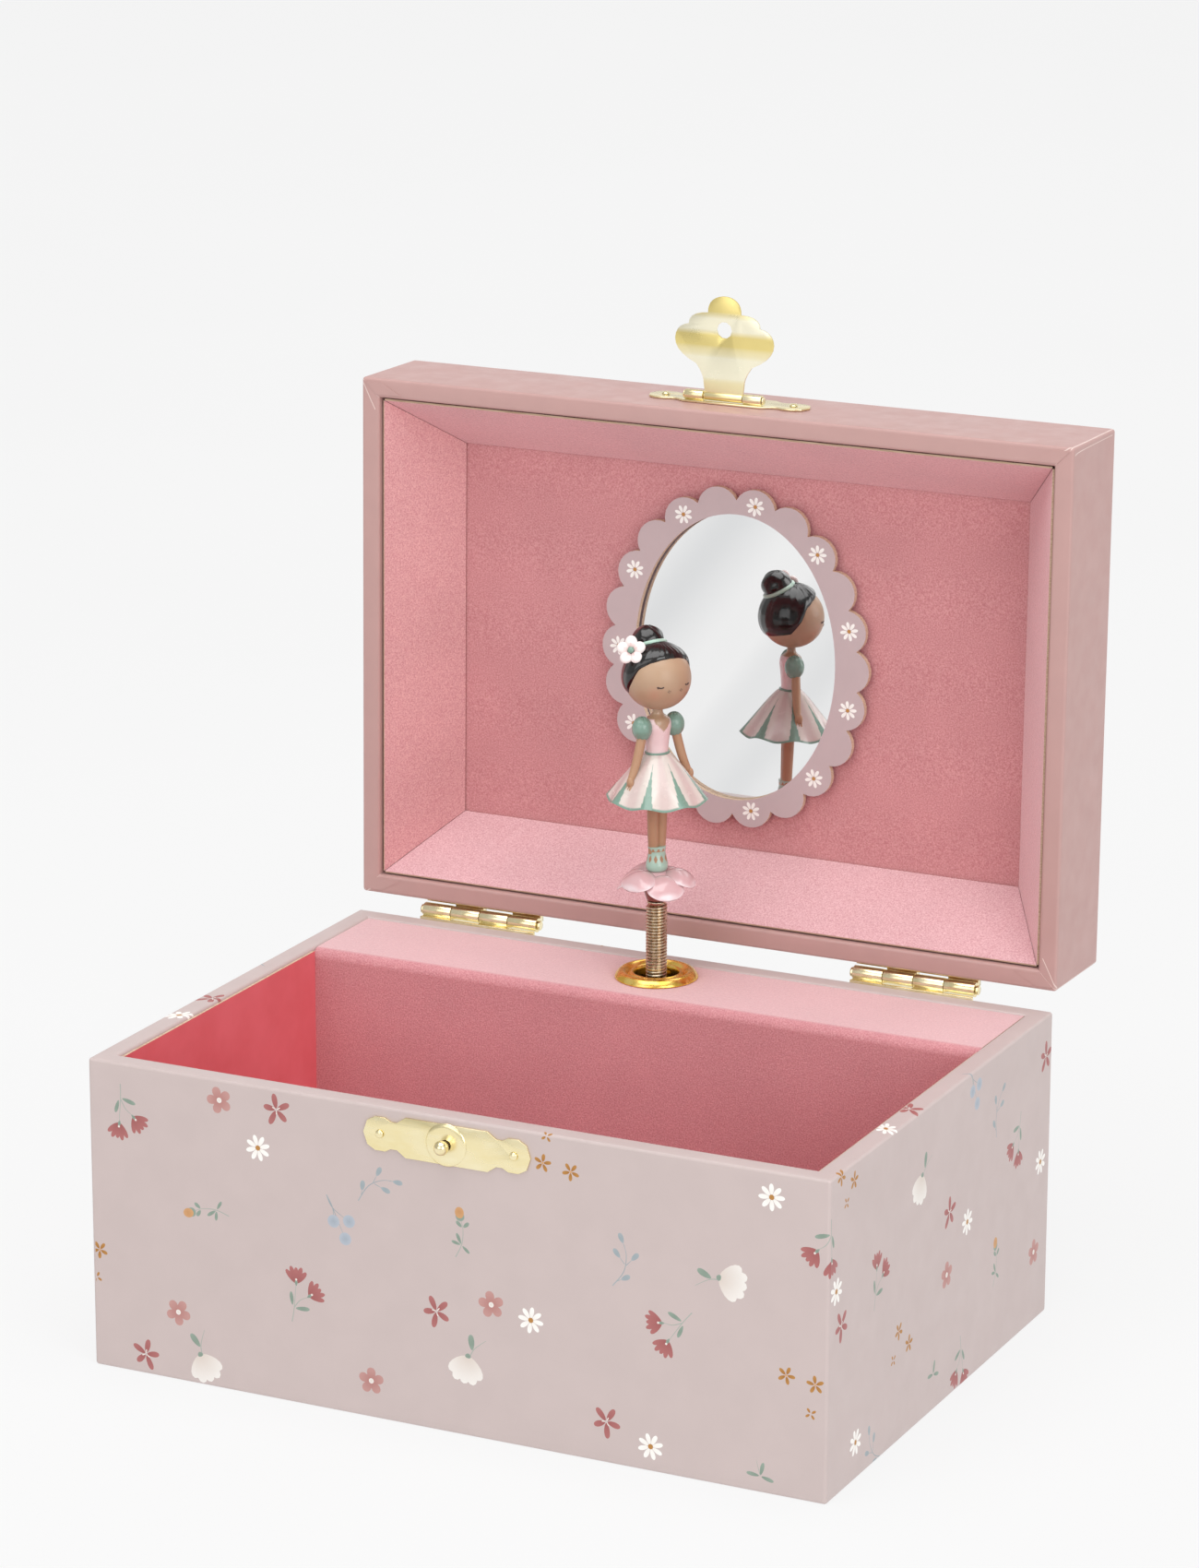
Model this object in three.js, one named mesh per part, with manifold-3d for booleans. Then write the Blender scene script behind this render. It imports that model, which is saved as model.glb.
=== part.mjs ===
// A ballerina jewellery box: a paper-wrapped box whose dancer turns on a spring to a clockwork movement.
// Millimetres, +Z up. The origin is the centre of the base's underside, +X to the right, +Y to the back.
// The box stands open: the lid leans back on its hinges and the hasp stands up.
import * as THREE from "three";
import { mergeVertices } from "three/addons/utils/BufferGeometryUtils.js";
import Module from "manifold-3d";

const wasm = await Module();
wasm.setup();

// ---------- driving dimensions ----------

// Base
const boxWidth = 188;
const boxDepth = 132;
const baseHeight = 76;
const baseBoard = 5.2;
const bottomBoard = 3;
const baseLiner = 0.6;
const linerDrop = 0.8; // the base lining's top edge below the rim
const mechanismDepth = 34; // the partition's front face to the back face of the base
const coverCard = 1.6;
const coverBend = 2.6; // outer radius of the fold between partition and deck
const deckDrop = 0.3; // the deck below the rim

// Lid, sized as it lies when closed
const lidHeight = 27.2;
const lidBoard = 4.8;
const lidLiner = 1.2;
const lidLinerDrop = 1.2; // the lid lining's edge below the lid's rim
const lidSplay = 13; // how far the lid's lining slopes inwards from rim to panel
const lidStripCard = 0.7; // the sloping card, measured level
const lidOpenAngle = 91;
const rimGap = 0.3; // the closed lid to the base rim
const seam = 0.1; // glue line between pieces of the lid

// Mirror
const mirrorHalfWidth = 27;
const mirrorHalfHeight = 36;
const mirrorLip = 1.6; // glass held behind the frame all round
const glassThickness = 1;
const frameFront = 1.5; // card in front of the glass
const scallopCount = 22;
const scallopOvalX = 30.5; // half axes of the oval through the scallop centres
const scallopOvalY = 37.5;
const scallopRadius = 5.5;
const lobeSteps = 5;
const ovalSteps = 48;

// Hinges
const hingeInsetLeft = 33.2; // box side to hinge centre
const hingeInsetRight = 36.9;
const hingeLength = 32;
const hingeKnuckles = 4;
const hingeBarrel = 1.8;
const hingePin = 0.8;
const hingeOut = 2.8; // pin behind the back faces
const hingeUp = 1.6; // pin above the base rim
const leafThickness = 0.8;
const leafLength = 11;

// Clasp
const clearance = 0.15; // round moving fits
const plateThickness = 0.5;
const claspFromRim = 9.7; // hasp pin above the lid's rim
const claspPin = 0.55;
const haspHoleAt = 16.4; // hasp pin to hole centre
const haspHole = 2.05;
const haspThickness = 0.6;
const haspStem = 5; // half width
const haspClosedAngle = 89; // from standing open to hanging over the catch
const knobHead = 1.75;
const knobNeck = 1.2;
const nailSpacing = 34;
const nailShank = 0.45;
const nailLength = 3;

// Dancer and spring
const spindleX = -3;
const spindleFromBack = 16.5;
const eyeletOuter = 10.2;
const eyeletInner = 5.5;
const eyeletHeight = 2.2;
const springRadius = 2.35; // to the wire's centre
const springWire = 0.27; // wire radius
const springPitch = 0.66;
const springAbove = 18.5; // spring top above the deck
const springBelow = 1.7; // spring foot below the deck
const pivotAbove = 3; // the bend's centre above the deck
const plugRadius = 1.9;
const petalReach = 9.8;
const petalCount = 5;
const petalRise = 8.6; // spring top to the soles of the shoes
const skirtRadius = 12.1;
const headRadius = 8.2;
const dancerTurn = 58; // the face, from straight ahead towards +X

// Movement
const barrelHeight = 38; // barrel axis above the ground
const barrelRadius = 12;
const barrelSpace = 3; // the partition's card to the barrel
const barrelWall = 1;
const crownTeeth = 40;
const crownRadius = 10.1;
const crownFace = 2.4; // radial length of a crown tooth
const pinionTeeth = 10;
const toothRise = 0.5; // tooth tip beyond the pitch line
const toothRoot = 0.75; // tooth root below the pitch line
const toothShare = 0.34; // tooth thickness as a share of the pitch
const drumRadius = 6.5;
const drumLength = 32;
const noteCount = 18;
const wheelTeeth = 28;
const governorTeeth = 8;
const fanReach = 5;
const bedplateThickness = 2;
const arborRadius = 2;
const shaftRadius = 1.2;
const keySpan = 30;

// ---------- derived places ----------

const halfWidth = boxWidth / 2;
const halfDepth = boxDepth / 2;
const innerX = halfWidth - baseBoard;
const innerY = halfDepth - baseBoard;
const partitionY = halfDepth - mechanismDepth;
const deckZ = baseHeight - deckDrop;
const lidRimZ = baseHeight + rimGap;
const lidTopZ = lidRimZ + lidHeight;
const lidInnerZ = lidTopZ - lidBoard;
const lidInnerX = halfWidth - lidBoard;
const lidInnerY = halfDepth - lidBoard;
const hingeY = halfDepth + hingeOut;
const hingeZ = baseHeight + hingeUp;
const hingeCentres = { left: hingeInsetLeft - halfWidth, right: halfWidth - hingeInsetRight };
const plateFaceY = -halfDepth - seam - plateThickness;
const claspY = plateFaceY - 1.2;
const claspZ = lidRimZ + claspFromRim;
const knobZ = claspZ - haspHoleAt;
const spindleY = halfDepth - spindleFromBack;
const springTopZ = deckZ + springAbove;
const pivotZ = deckZ + pivotAbove;
const soleZ = springTopZ + petalRise;
const crownPitch = (2 * Math.PI * crownRadius) / crownTeeth;
const pinionRadius = (pinionTeeth * crownPitch) / (2 * Math.PI);
const crownY = spindleY - pinionRadius; // pitch plane of the crown teeth
const barrelBackY = crownY - toothRoot;
const barrelLength = barrelBackY - partitionY - coverCard - barrelSpace;
const bedplateBackY = innerY - 0.2;
const bedplateFrontY = bedplateBackY - bedplateThickness;
const drumX = spindleX + barrelRadius + 1.8;
const wheelX = drumX + drumLength + 1.4;
const governorX = wheelX + 6;
const wheelRadius = (wheelTeeth * crownPitch) / (2 * Math.PI);
const governorRadius = (governorTeeth * crownPitch) / (2 * Math.PI);
const governorZ = barrelHeight + wheelRadius + governorRadius;
const degrees = Math.PI / 180;
const goldenAngle = Math.PI * (3 - Math.sqrt(5));

// ---------- materials ----------

function finish(color, roughness, metalness = 0) {
  return () => new THREE.MeshStandardMaterial({ color, roughness, metalness });
}

const basePaper = finish("#cfbfbc", 0.55);
const lidPaper = finish("#c8aaa3", 0.55);
const coralCard = finish("#d7555a", 0.6);
const flock = finish("#cd7882", 0.95);
const brass = finish("#e0c878", 0.25, 1);
const eyeletBrass = finish("#d8a82c", 0.2, 1);
const copper = finish("#a8744e", 0.3, 1);
const steel = finish("#b9bcc0", 0.35, 1);
const frameCard = finish("#c9b4b6", 0.6);
const mirrorGlass = finish("#f2f4f5", 0.03, 1);
const petalPaint = finish("#e9b4c1", 0.2);
const figurePaint = finish("#f3d8d6", 0.3);
const darkSteel = finish("#5c6066", 0.4, 1);

// ---------- solid helpers ----------

// A closed geometry as a solid that faces outwards.
function toSolid(geometry) {
  const bare = geometry.index ? geometry.toNonIndexed() : geometry.clone();
  bare.deleteAttribute("normal");
  bare.deleteAttribute("uv");
  const merged = mergeVertices(bare, 1e-4);
  const corners = merged.index.array;
  const kept = [];
  for (let i = 0; i < corners.length; i += 3) {
    const [a, b, c] = [corners[i], corners[i + 1], corners[i + 2]];
    if (a !== b && b !== c && c !== a) kept.push(a, b, c);
  }
  const vertProperties = merged.attributes.position.array;
  const build = (triVerts) => new wasm.Manifold(new wasm.Mesh({ numProp: 3, vertProperties, triVerts }));
  const made = build(new Uint32Array(kept));
  return made.volume() > 0 ? made : build(new Uint32Array(kept.reverse()));
}

// The geometry of a solid.
function toGeometry(solid) {
  const { vertProperties, triVerts } = solid.getMesh();
  const geometry = new THREE.BufferGeometry();
  geometry.setAttribute("position", new THREE.BufferAttribute(new Float32Array(vertProperties), 3));
  geometry.setIndex(new THREE.BufferAttribute(new Uint32Array(triVerts), 1));
  geometry.computeVertexNormals();
  return geometry;
}

function join(...geometries) {
  return toGeometry(geometries.map(toSolid).reduce((whole, next) => whole.add(next)));
}

function cut(geometry, ...tools) {
  return toGeometry(tools.map(toSolid).reduce((whole, tool) => whole.subtract(tool), toSolid(geometry)));
}

// A box from its ranges along X, Y and Z.
function block([x0, x1], [y0, y1], [z0, z1]) {
  const geometry = new THREE.BoxGeometry(x1 - x0, y1 - y0, z1 - z0);
  return geometry.translate((x0 + x1) / 2, (y0 + y1) / 2, (z0 + z1) / 2);
}

// Moves a geometry made about +Z so that its +Z runs along an axis through a point.
function along(axis, geometry, [x, y, z]) {
  if (axis === "x") geometry.rotateY(Math.PI / 2);
  if (axis === "y") geometry.rotateX(-Math.PI / 2);
  return geometry.translate(x, y, z);
}

// A body turned about +Z from [radius, height] points.
function turned(profile, sides = 24) {
  const points = profile.map(([radius, height]) => new THREE.Vector2(radius, height));
  return new THREE.LatheGeometry(points, sides).rotateX(Math.PI / 2);
}

// A round bar along an axis, from a point.
function bar(axis, radius, length, from, sides = 20) {
  return along(axis, turned([[0, 0], [radius, 0], [radius, length], [0, length]], sides), from);
}

// A tube along an axis, from a point.
function tube(axis, outer, inner, length, from, sides = 20) {
  const wall = [[inner, 0], [outer, 0], [outer, length], [inner, length], [inner, 0]];
  return along(axis, turned(wall, sides), from);
}

function ball(radius, [x, y, z], [sx, sy, sz] = [1, 1, 1], rings = 10) {
  const geometry = new THREE.SphereGeometry(radius, rings * 2, rings);
  return geometry.rotateX(Math.PI / 2).scale(sx, sy, sz).translate(x, y, z);
}

// A tapered bar between two points.
function limb(start, end, startRadius, endRadius) {
  const a = new THREE.Vector3(...start);
  const b = new THREE.Vector3(...end);
  const direction = b.clone().sub(a);
  const cone = new THREE.CylinderGeometry(endRadius, startRadius, direction.length(), 8);
  const upright = new THREE.Vector3(0, 1, 0);
  cone.applyQuaternion(new THREE.Quaternion().setFromUnitVectors(upright, direction.normalize()));
  return cone.translate(...a.add(b).multiplyScalar(0.5).toArray());
}

// A flat sheet of an outline, from z = 0 up.
function sheet(shape, thickness, curveSegments = 8) {
  return new THREE.ExtrudeGeometry(shape, { depth: thickness, bevelEnabled: false, curveSegments });
}

// A gear's outline with straight-sided teeth, the first one pointing at firstAngle.
function gearShape(teeth, pitchRadius, firstAngle) {
  const shape = new THREE.Shape();
  const pitchAngle = (2 * Math.PI) / teeth;
  const half = (pitchAngle * toothShare) / 2;
  const corners = [
    [pitchRadius - toothRoot, -half * 1.25],
    [pitchRadius + toothRise, -half * 0.55],
    [pitchRadius + toothRise, half * 0.55],
    [pitchRadius - toothRoot, half * 1.25],
  ];
  for (let tooth = 0; tooth < teeth; tooth += 1) {
    for (const [radius, offset] of corners) {
      const angle = firstAngle + tooth * pitchAngle + offset;
      const point = [radius * Math.cos(angle), radius * Math.sin(angle)];
      if (shape.curves.length || shape.currentPoint.lengthSq()) shape.lineTo(...point);
      else shape.moveTo(...point);
    }
  }
  shape.closePath();
  return shape;
}

function piece(name, material, geometry) {
  const mesh = new THREE.Mesh(geometry, material());
  mesh.name = name;
  return mesh;
}

// An outline from a run of [control, end] curves down its right side, mirrored to the left.
function mirroredShape(start, curves) {
  const shape = new THREE.Shape();
  shape.moveTo(...start);
  for (const [cx, cy, x, y] of curves) shape.quadraticCurveTo(cx, cy, x, y);
  const ends = [start, ...curves.map(([, , x, y]) => [x, y])];
  for (let i = curves.length - 1; i >= 0; i -= 1) {
    const [cx, cy] = curves[i];
    shape.quadraticCurveTo(-cx, cy, -ends[i][0], ends[i][1]);
  }
  shape.closePath();
  return shape;
}

// ---------- base ----------

function nailHole(y, z, side) {
  return bar("y", nailShank + clearance, nailLength, [(side * nailSpacing) / 2, y, z], 12);
}

function baseBoards() {
  const front = cut(
    block([-halfWidth, halfWidth], [-halfDepth, -innerY], [0, baseHeight]),
    nailHole(-halfDepth, knobZ, -1),
    nailHole(-halfDepth, knobZ, 1),
    bar("y", knobNeck + clearance, nailLength, [0, -halfDepth, knobZ], 12),
  );
  const back = cut(
    block([-halfWidth, halfWidth], [innerY, halfDepth], [0, baseHeight]),
    bar("y", arborRadius + 1, baseBoard, [spindleX, innerY, barrelHeight]),
    ...mountingScrews.map(([x, z]) => bar("y", 1.5 + clearance, baseBoard, [x, innerY, z], 16)),
  );
  return [
    piece("base_bottom_board", basePaper, block([-innerX, innerX], [-innerY, innerY], [0, bottomBoard])),
    piece("base_front_board", basePaper, front),
    piece("base_back_board", basePaper, back),
    piece("base_left_board", basePaper, block([-halfWidth, -innerX], [-innerY, innerY], [0, baseHeight])),
    piece("base_right_board", basePaper, block([innerX, halfWidth], [-innerY, innerY], [0, baseHeight])),
  ];
}

function baseLining() {
  const floorZ = [bottomBoard, bottomBoard + baseLiner];
  const wallZ = [floorZ[1], baseHeight - linerDrop];
  const sideY = [-innerY + baseLiner, partitionY];
  const spanX = [-innerX + baseLiner, innerX - baseLiner];
  return [
    piece("floor_lining", flock, block([-innerX, innerX], [-innerY, partitionY], floorZ)),
    piece("front_lining", coralCard, block(spanX, [-innerY, -innerY + baseLiner], wallZ)),
    piece("left_lining", coralCard, block([-innerX, -innerX + baseLiner], sideY, wallZ)),
    piece("right_lining", coralCard, block([innerX - baseLiner, innerX], sideY, wallZ)),
  ];
}

// The partition and the deck are one folded card, with a hole for the eyelet.
function mechanismCover() {
  const profile = new THREE.Shape();
  const inner = coverBend - coverCard;
  profile.moveTo(partitionY, bottomBoard);
  profile.lineTo(partitionY, deckZ - coverBend);
  profile.absarc(partitionY + coverBend, deckZ - coverBend, coverBend, Math.PI, Math.PI / 2, true);
  profile.lineTo(innerY, deckZ);
  profile.lineTo(innerY, deckZ - coverCard);
  profile.lineTo(partitionY + coverBend, deckZ - coverCard);
  profile.absarc(partitionY + coverBend, deckZ - coverBend, inner, Math.PI / 2, Math.PI, false);
  profile.lineTo(partitionY + coverCard, bottomBoard);
  profile.closePath();
  const card = sheet(profile, 2 * innerX, 6);
  // the profile's x and y become Y and Z, and its depth runs along X
  const turn = new THREE.Matrix4().makeBasis(
    new THREE.Vector3(0, 1, 0),
    new THREE.Vector3(0, 0, 1),
    new THREE.Vector3(1, 0, 0),
  );
  card.applyMatrix4(turn).translate(-innerX, 0, 0);
  const hole = bar("z", eyeletInner + 0.9, 4, [spindleX, spindleY, deckZ - 3], 32);
  return piece("mechanism_cover", flock, cut(card, hole));
}

function eyelet() {
  const middle = (eyeletOuter + eyeletInner) / 2;
  const half = (eyeletOuter - eyeletInner) / 2;
  const profile = [[eyeletInner, -3], [eyeletInner + 0.6, -3], [eyeletInner + 0.6, 0], [eyeletOuter, 0]];
  const steps = 5;
  for (let i = 1; i <= steps; i += 1) {
    const angle = (Math.PI * i) / steps;
    profile.push([middle + half * Math.cos(angle), 0.2 + (eyeletHeight - 0.2) * Math.sin(angle)]);
  }
  profile.push(profile[0]);
  return piece("eyelet_ring", eyeletBrass, along("z", turned(profile, 24), [spindleX, spindleY, deckZ]));
}

// ---------- lid, built closed and swung open about the hinge pins ----------

function lidBoards() {
  const wallZ = [lidRimZ, lidInnerZ - seam];
  const wholeY = [-halfDepth, halfDepth];
  const sideY = [-lidInnerY + seam, lidInnerY - seam];
  const claspNailZ = claspZ + 3.2;
  const front = cut(
    block([-halfWidth, halfWidth], [-halfDepth, -lidInnerY], wallZ),
    nailHole(-halfDepth, claspNailZ, -1),
    nailHole(-halfDepth, claspNailZ, 1),
  );
  return [
    piece("lid_top_board", lidPaper, block([-halfWidth, halfWidth], wholeY, [lidInnerZ, lidTopZ])),
    piece("lid_front_board", lidPaper, front),
    piece("lid_back_board", lidPaper, block([-halfWidth, halfWidth], [lidInnerY, halfDepth], wallZ)),
    piece("lid_left_board", lidPaper, block([-halfWidth, -lidInnerX], sideY, wallZ)),
    piece("lid_right_board", lidPaper, block([lidInnerX, halfWidth], sideY, wallZ)),
  ];
}

// One sloping side of the lid's lining, against the wall at -Y before its turn, with mitred ends.
function lidStrip(halfLength, wallY, [rimZ, topZ], turn) {
  const geometry = new THREE.BoxGeometry(1, 1, 1);
  const corners = geometry.attributes.position;
  const mitreGap = seam * Math.SQRT1_2;
  for (let i = 0; i < corners.count; i += 1) {
    const atTop = corners.getZ(i) > 0;
    const inset = (corners.getY(i) > 0 ? lidStripCard : 0) + (atTop ? lidSplay : 0);
    const reach = halfLength - inset - mitreGap;
    corners.setXYZ(i, Math.sign(corners.getX(i)) * reach, inset - wallY, atTop ? topZ : rimZ);
  }
  return geometry.rotateZ(turn);
}

function lidLining() {
  const outX = lidInnerX - seam;
  const outY = lidInnerY - seam;
  const panelZ = [lidInnerZ - seam - lidLiner, lidInnerZ - seam];
  const stripZ = [lidRimZ + lidLinerDrop, panelZ[0] - seam];
  return [
    piece("lid_lining_panel", flock, block([-outX, outX], [-outY, outY], panelZ)),
    piece("lid_lining_front", flock, lidStrip(outX, outY, stripZ, 0)),
    piece("lid_lining_back", flock, lidStrip(outX, outY, stripZ, Math.PI)),
    piece("lid_lining_left", flock, lidStrip(outY, outX, stripZ, -Math.PI / 2)),
    piece("lid_lining_right", flock, lidStrip(outY, outX, stripZ, Math.PI / 2)),
  ];
}

// The scalloped outline: equal round lobes spaced evenly along an oval, each met by its neighbours.
function scallopShape() {
  const oval = new THREE.EllipseCurve(0, 0, scallopOvalX, scallopOvalY, 0, 2 * Math.PI);
  const centres = oval.getSpacedPoints(scallopCount).slice(0, scallopCount);
  const points = centres.flatMap((centre, i) => {
    const before = centres[(i + scallopCount - 1) % scallopCount].clone().sub(centre);
    const after = centres[(i + 1) % scallopCount].clone().sub(centre);
    const start = before.angle() + Math.acos(before.length() / 2 / scallopRadius);
    const end = after.angle() - Math.acos(after.length() / 2 / scallopRadius);
    const sweep = THREE.MathUtils.euclideanModulo(end - start, 2 * Math.PI);
    return Array.from({ length: lobeSteps }, (_, step) => {
      const angle = start + (sweep * step) / lobeSteps;
      return new THREE.Vector2(Math.cos(angle), Math.sin(angle)).multiplyScalar(scallopRadius).add(centre);
    });
  });
  return new THREE.Shape(points);
}

function ovalPoints(halfX, halfY) {
  return new THREE.EllipseCurve(0, 0, halfX, halfY, 0, 2 * Math.PI).getPoints(ovalSteps).slice(1);
}

function mirror() {
  const backZ = lidInnerZ - 2 * seam - lidLiner;
  const pocket = glassThickness + 2 * seam;
  const frontShape = scallopShape();
  frontShape.holes.push(new THREE.Path(ovalPoints(mirrorHalfWidth, mirrorHalfHeight)));
  const backShape = scallopShape();
  const lip = mirrorLip + 3 * seam;
  backShape.holes.push(new THREE.Path(ovalPoints(mirrorHalfWidth + lip, mirrorHalfHeight + lip)));
  const front = sheet(frontShape, frameFront).translate(0, 0, backZ - pocket - frameFront);
  const back = sheet(backShape, pocket).translate(0, 0, backZ - pocket);
  const pane = new THREE.Shape(ovalPoints(mirrorHalfWidth + mirrorLip, mirrorHalfHeight + mirrorLip));
  const glass = sheet(pane, glassThickness).translate(0, 0, backZ - seam - glassThickness);
  return [
    piece("mirror_frame", frameCard, join(front, back)),
    piece("mirror_glass", mirrorGlass, glass),
  ];
}

// ---------- hinges ----------

// One leaf of a hinge: a plate on the back face and every second knuckle round the pin.
// up is 1 for the lid's leaf and -1 for the base's.
function hingeLeaf(centre, up, firstKnuckle, gap) {
  const knuckle = hingeLength / hingeKnuckles;
  const left = centre - hingeLength / 2;
  const faceY = halfDepth + gap;
  const near = hingeZ + up * 1.2;
  const far = hingeZ + up * (1.2 + leafLength);
  const webTop = hingeZ + up * (hingeBarrel + 1.2);
  const span = (a, b) => [Math.min(a, b), Math.max(a, b)];
  const plate = block([left, left + hingeLength], [faceY, faceY + leafThickness], span(near, far));
  const parts = [plate];
  const bores = [];
  for (let i = firstKnuckle; i < hingeKnuckles; i += 2) {
    const from = left + i * knuckle + 0.1;
    const length = knuckle - 0.2;
    parts.push(bar("x", hingeBarrel, length, [from, hingeY, hingeZ], 14));
    parts.push(block([from, from + length], [faceY, hingeY - 0.4], span(near, webTop)));
    bores.push(bar("x", hingePin + clearance, knuckle + 0.4, [from - 0.3, hingeY, hingeZ], 10));
  }
  return cut(join(...parts), ...bores);
}

function hingeSwivelPin(centre) {
  const head = [[0, 0], [1.2, 0], [1.2, 0.6], [hingePin, 0.6]];
  const end = hingeLength + 1.4;
  const profile = [...head, [hingePin, end - 0.6], [1.2, end - 0.6], [1.2, end], [0, end]];
  return along("x", turned(profile, 10), [centre - end / 2, hingeY, hingeZ]);
}

// ---------- clasp ----------

// Half of the plates' outline, from the middle of the top edge to the round end.
function plateShape(halfLength, halfHeight) {
  const lobe = halfHeight * 0.84;
  const neck = halfHeight * 0.68;
  const shape = new THREE.Shape();
  const quarter = [
    [10.4, halfHeight],
    [12.6, neck],
    [14.2, neck],
    [15.6, lobe],
    [halfLength - 3, lobe],
    [halfLength - 1, lobe * 0.72],
    [halfLength, 0],
  ];
  const right = [...quarter, ...quarter.slice(0, -1).reverse().map(([x, y]) => [x, -y])];
  const left = right.map(([x, y]) => [-x, -y]);
  const outline = [...right, ...left].map(([x, y]) => new THREE.Vector2(x, y));
  return shape.setFromPoints(outline);
}

// Stands a sheet made in X and Y on a front face, its underside at y.
function onFront(geometry, y, z) {
  return geometry.rotateX(Math.PI / 2).translate(0, y, z);
}

function claspPlate() {
  const height = 4.6;
  const nailZ = 3.2;
  const faceY = -halfDepth - seam;
  const plate = onFront(sheet(plateShape(21.2, height), plateThickness), faceY, claspZ + nailZ);
  const knuckles = [-1, 1].map((side) => {
    const from = side > 0 ? haspStem + 0.3 : -haspStem - 0.3 - 4.8;
    return bar("x", 1.3, 4.8, [from, claspY, claspZ], 16);
  });
  const holes = [-1, 1].map((side) => nailHole(faceY - 1, claspZ + nailZ, side));
  const bore = bar("x", claspPin + clearance, 24, [-12, claspY, claspZ], 12);
  return piece("clasp_plate", brass, cut(join(plate, ...knuckles), bore, ...holes));
}

function claspSwivelPin() {
  const half = haspStem + 0.3 + 4.8 + 0.5;
  const profile = [[0, 0], [0.95, 0], [0.95, 0.35], [claspPin, 0.35], [claspPin, 2 * half - 0.35]];
  profile.push([0.95, 2 * half - 0.35], [0.95, 2 * half], [0, 2 * half]);
  return piece("clasp_pin", brass, along("x", turned(profile, 12), [-half, claspY, claspZ]));
}

// The hasp, made hanging down from its pin at the origin.
function haspGeometry() {
  const stem = haspStem + 0.3;
  const curves = [
    [stem, 5.2, 7.4, 7.8],
    [13, 10.2, 13, 13.6],
    [12.8, 16.9, 9.4, 17.4],
    [9.4, 20.3, 4.3, 20.4],
    [4.4, 23, 2.3, 24.1],
    [1.2, 24.6, 0, 24.6],
  ];
  const shape = mirroredShape([haspStem, 0], [[haspStem, 1, stem, 3], ...curves]);
  const hole = new THREE.Path();
  hole.absarc(0, haspHoleAt, haspHole, 0, 2 * Math.PI, true);
  shape.holes.push(hole);
  const plate = sheet(shape, haspThickness, 5).rotateX(-Math.PI / 2).translate(0, -haspThickness / 2, 0);
  const barrel = bar("x", 1, 2 * haspStem, [-haspStem, 0, 0], 16);
  const bore = bar("x", claspPin + clearance, 2 * haspStem + 2, [-haspStem - 1, 0, 0], 12);
  return cut(join(plate, barrel), bore);
}

function catchPieces() {
  const faceY = -halfDepth;
  const plate = onFront(sheet(plateShape(21.2, 4.8), plateThickness), faceY, knobZ);
  const emboss = [[0, plateThickness - 0.1], [3.4, plateThickness - 0.1], [3.4, plateThickness + 0.1]];
  emboss.push([2.6, plateThickness + 0.35], [0, plateThickness + 0.35]);
  const raised = turned(emboss, 24).rotateX(Math.PI / 2).translate(0, faceY, knobZ);
  const holes = [-1, 1].map((side) => nailHole(faceY - 1, knobZ, side));
  const stemHole = bar("y", knobNeck + clearance, 4, [0, faceY - 3, knobZ], 12);
  const knob = [[0, -nailLength + 0.2], [knobNeck, -nailLength + 0.2], [knobNeck, 1.6]];
  const steps = 5;
  for (let i = 1; i <= steps; i += 1) {
    const angle = (-45 + (135 * i) / steps) * degrees;
    knob.push([i === steps ? 0 : knobHead * Math.cos(angle), 2.9 + knobHead * Math.sin(angle)]);
  }
  const stud = turned(knob, 14).rotateX(Math.PI / 2).translate(0, faceY, knobZ);
  return [
    piece("catch_plate", brass, cut(join(plate, raised), stemHole, ...holes)),
    piece("catch_knob", brass, stud),
  ];
}

// A domed nail driven in along +Y, its head on a face at y.
function nail(name, side, y, z) {
  const profile = [
    [0, -nailLength + 0.4 + plateThickness],
    [nailShank, -nailLength + 0.6 + plateThickness],
    [nailShank, 0.05],
    [1.05, 0.05],
    [0.95, 0.35],
    [0.55, 0.6],
    [0, 0.7],
  ];
  const geometry = turned(profile, 12).rotateX(Math.PI / 2);
  return piece(name, brass, geometry.translate((side * nailSpacing) / 2, y, z));
}

// ---------- dancer ----------

class Helix extends THREE.Curve {
  constructor(radius, height, turns) {
    super();
    Object.assign(this, { radius, height, turns });
  }

  getPoint(t) {
    const angle = 2 * Math.PI * this.turns * t;
    return new THREE.Vector3(this.radius * Math.cos(angle), this.radius * Math.sin(angle), this.height * t);
  }
}

function dancerSpring() {
  const height = springAbove + springBelow - 2 * springWire;
  const turns = height / springPitch;
  const path = new Helix(springRadius, height, turns);
  const steps = Math.round(turns * 7);
  path.arcLengthDivisions = steps;
  const section = new THREE.Shape();
  section.absarc(0, 0, springWire, 0, 2 * Math.PI, false);
  const coil = new THREE.ExtrudeGeometry(section, { steps, extrudePath: path, curveSegments: 2 });
  coil.translate(spindleX, spindleY, deckZ - springBelow + springWire);
  return piece("dancer_spring", copper, toGeometry(toSolid(coil)));
}

// The peg in the top of the spring, clear of the eyelet when the dancer lies down.
function springPeg() {
  const collar = [[0, 0], [plugRadius, 0], [plugRadius, 5], [springRadius, 5], [springRadius, 5.7], [0, 5.7]];
  return piece("spring_peg", steel, along("z", turned(collar, 16), [spindleX, spindleY, springTopZ - 4.8]));
}

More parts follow.
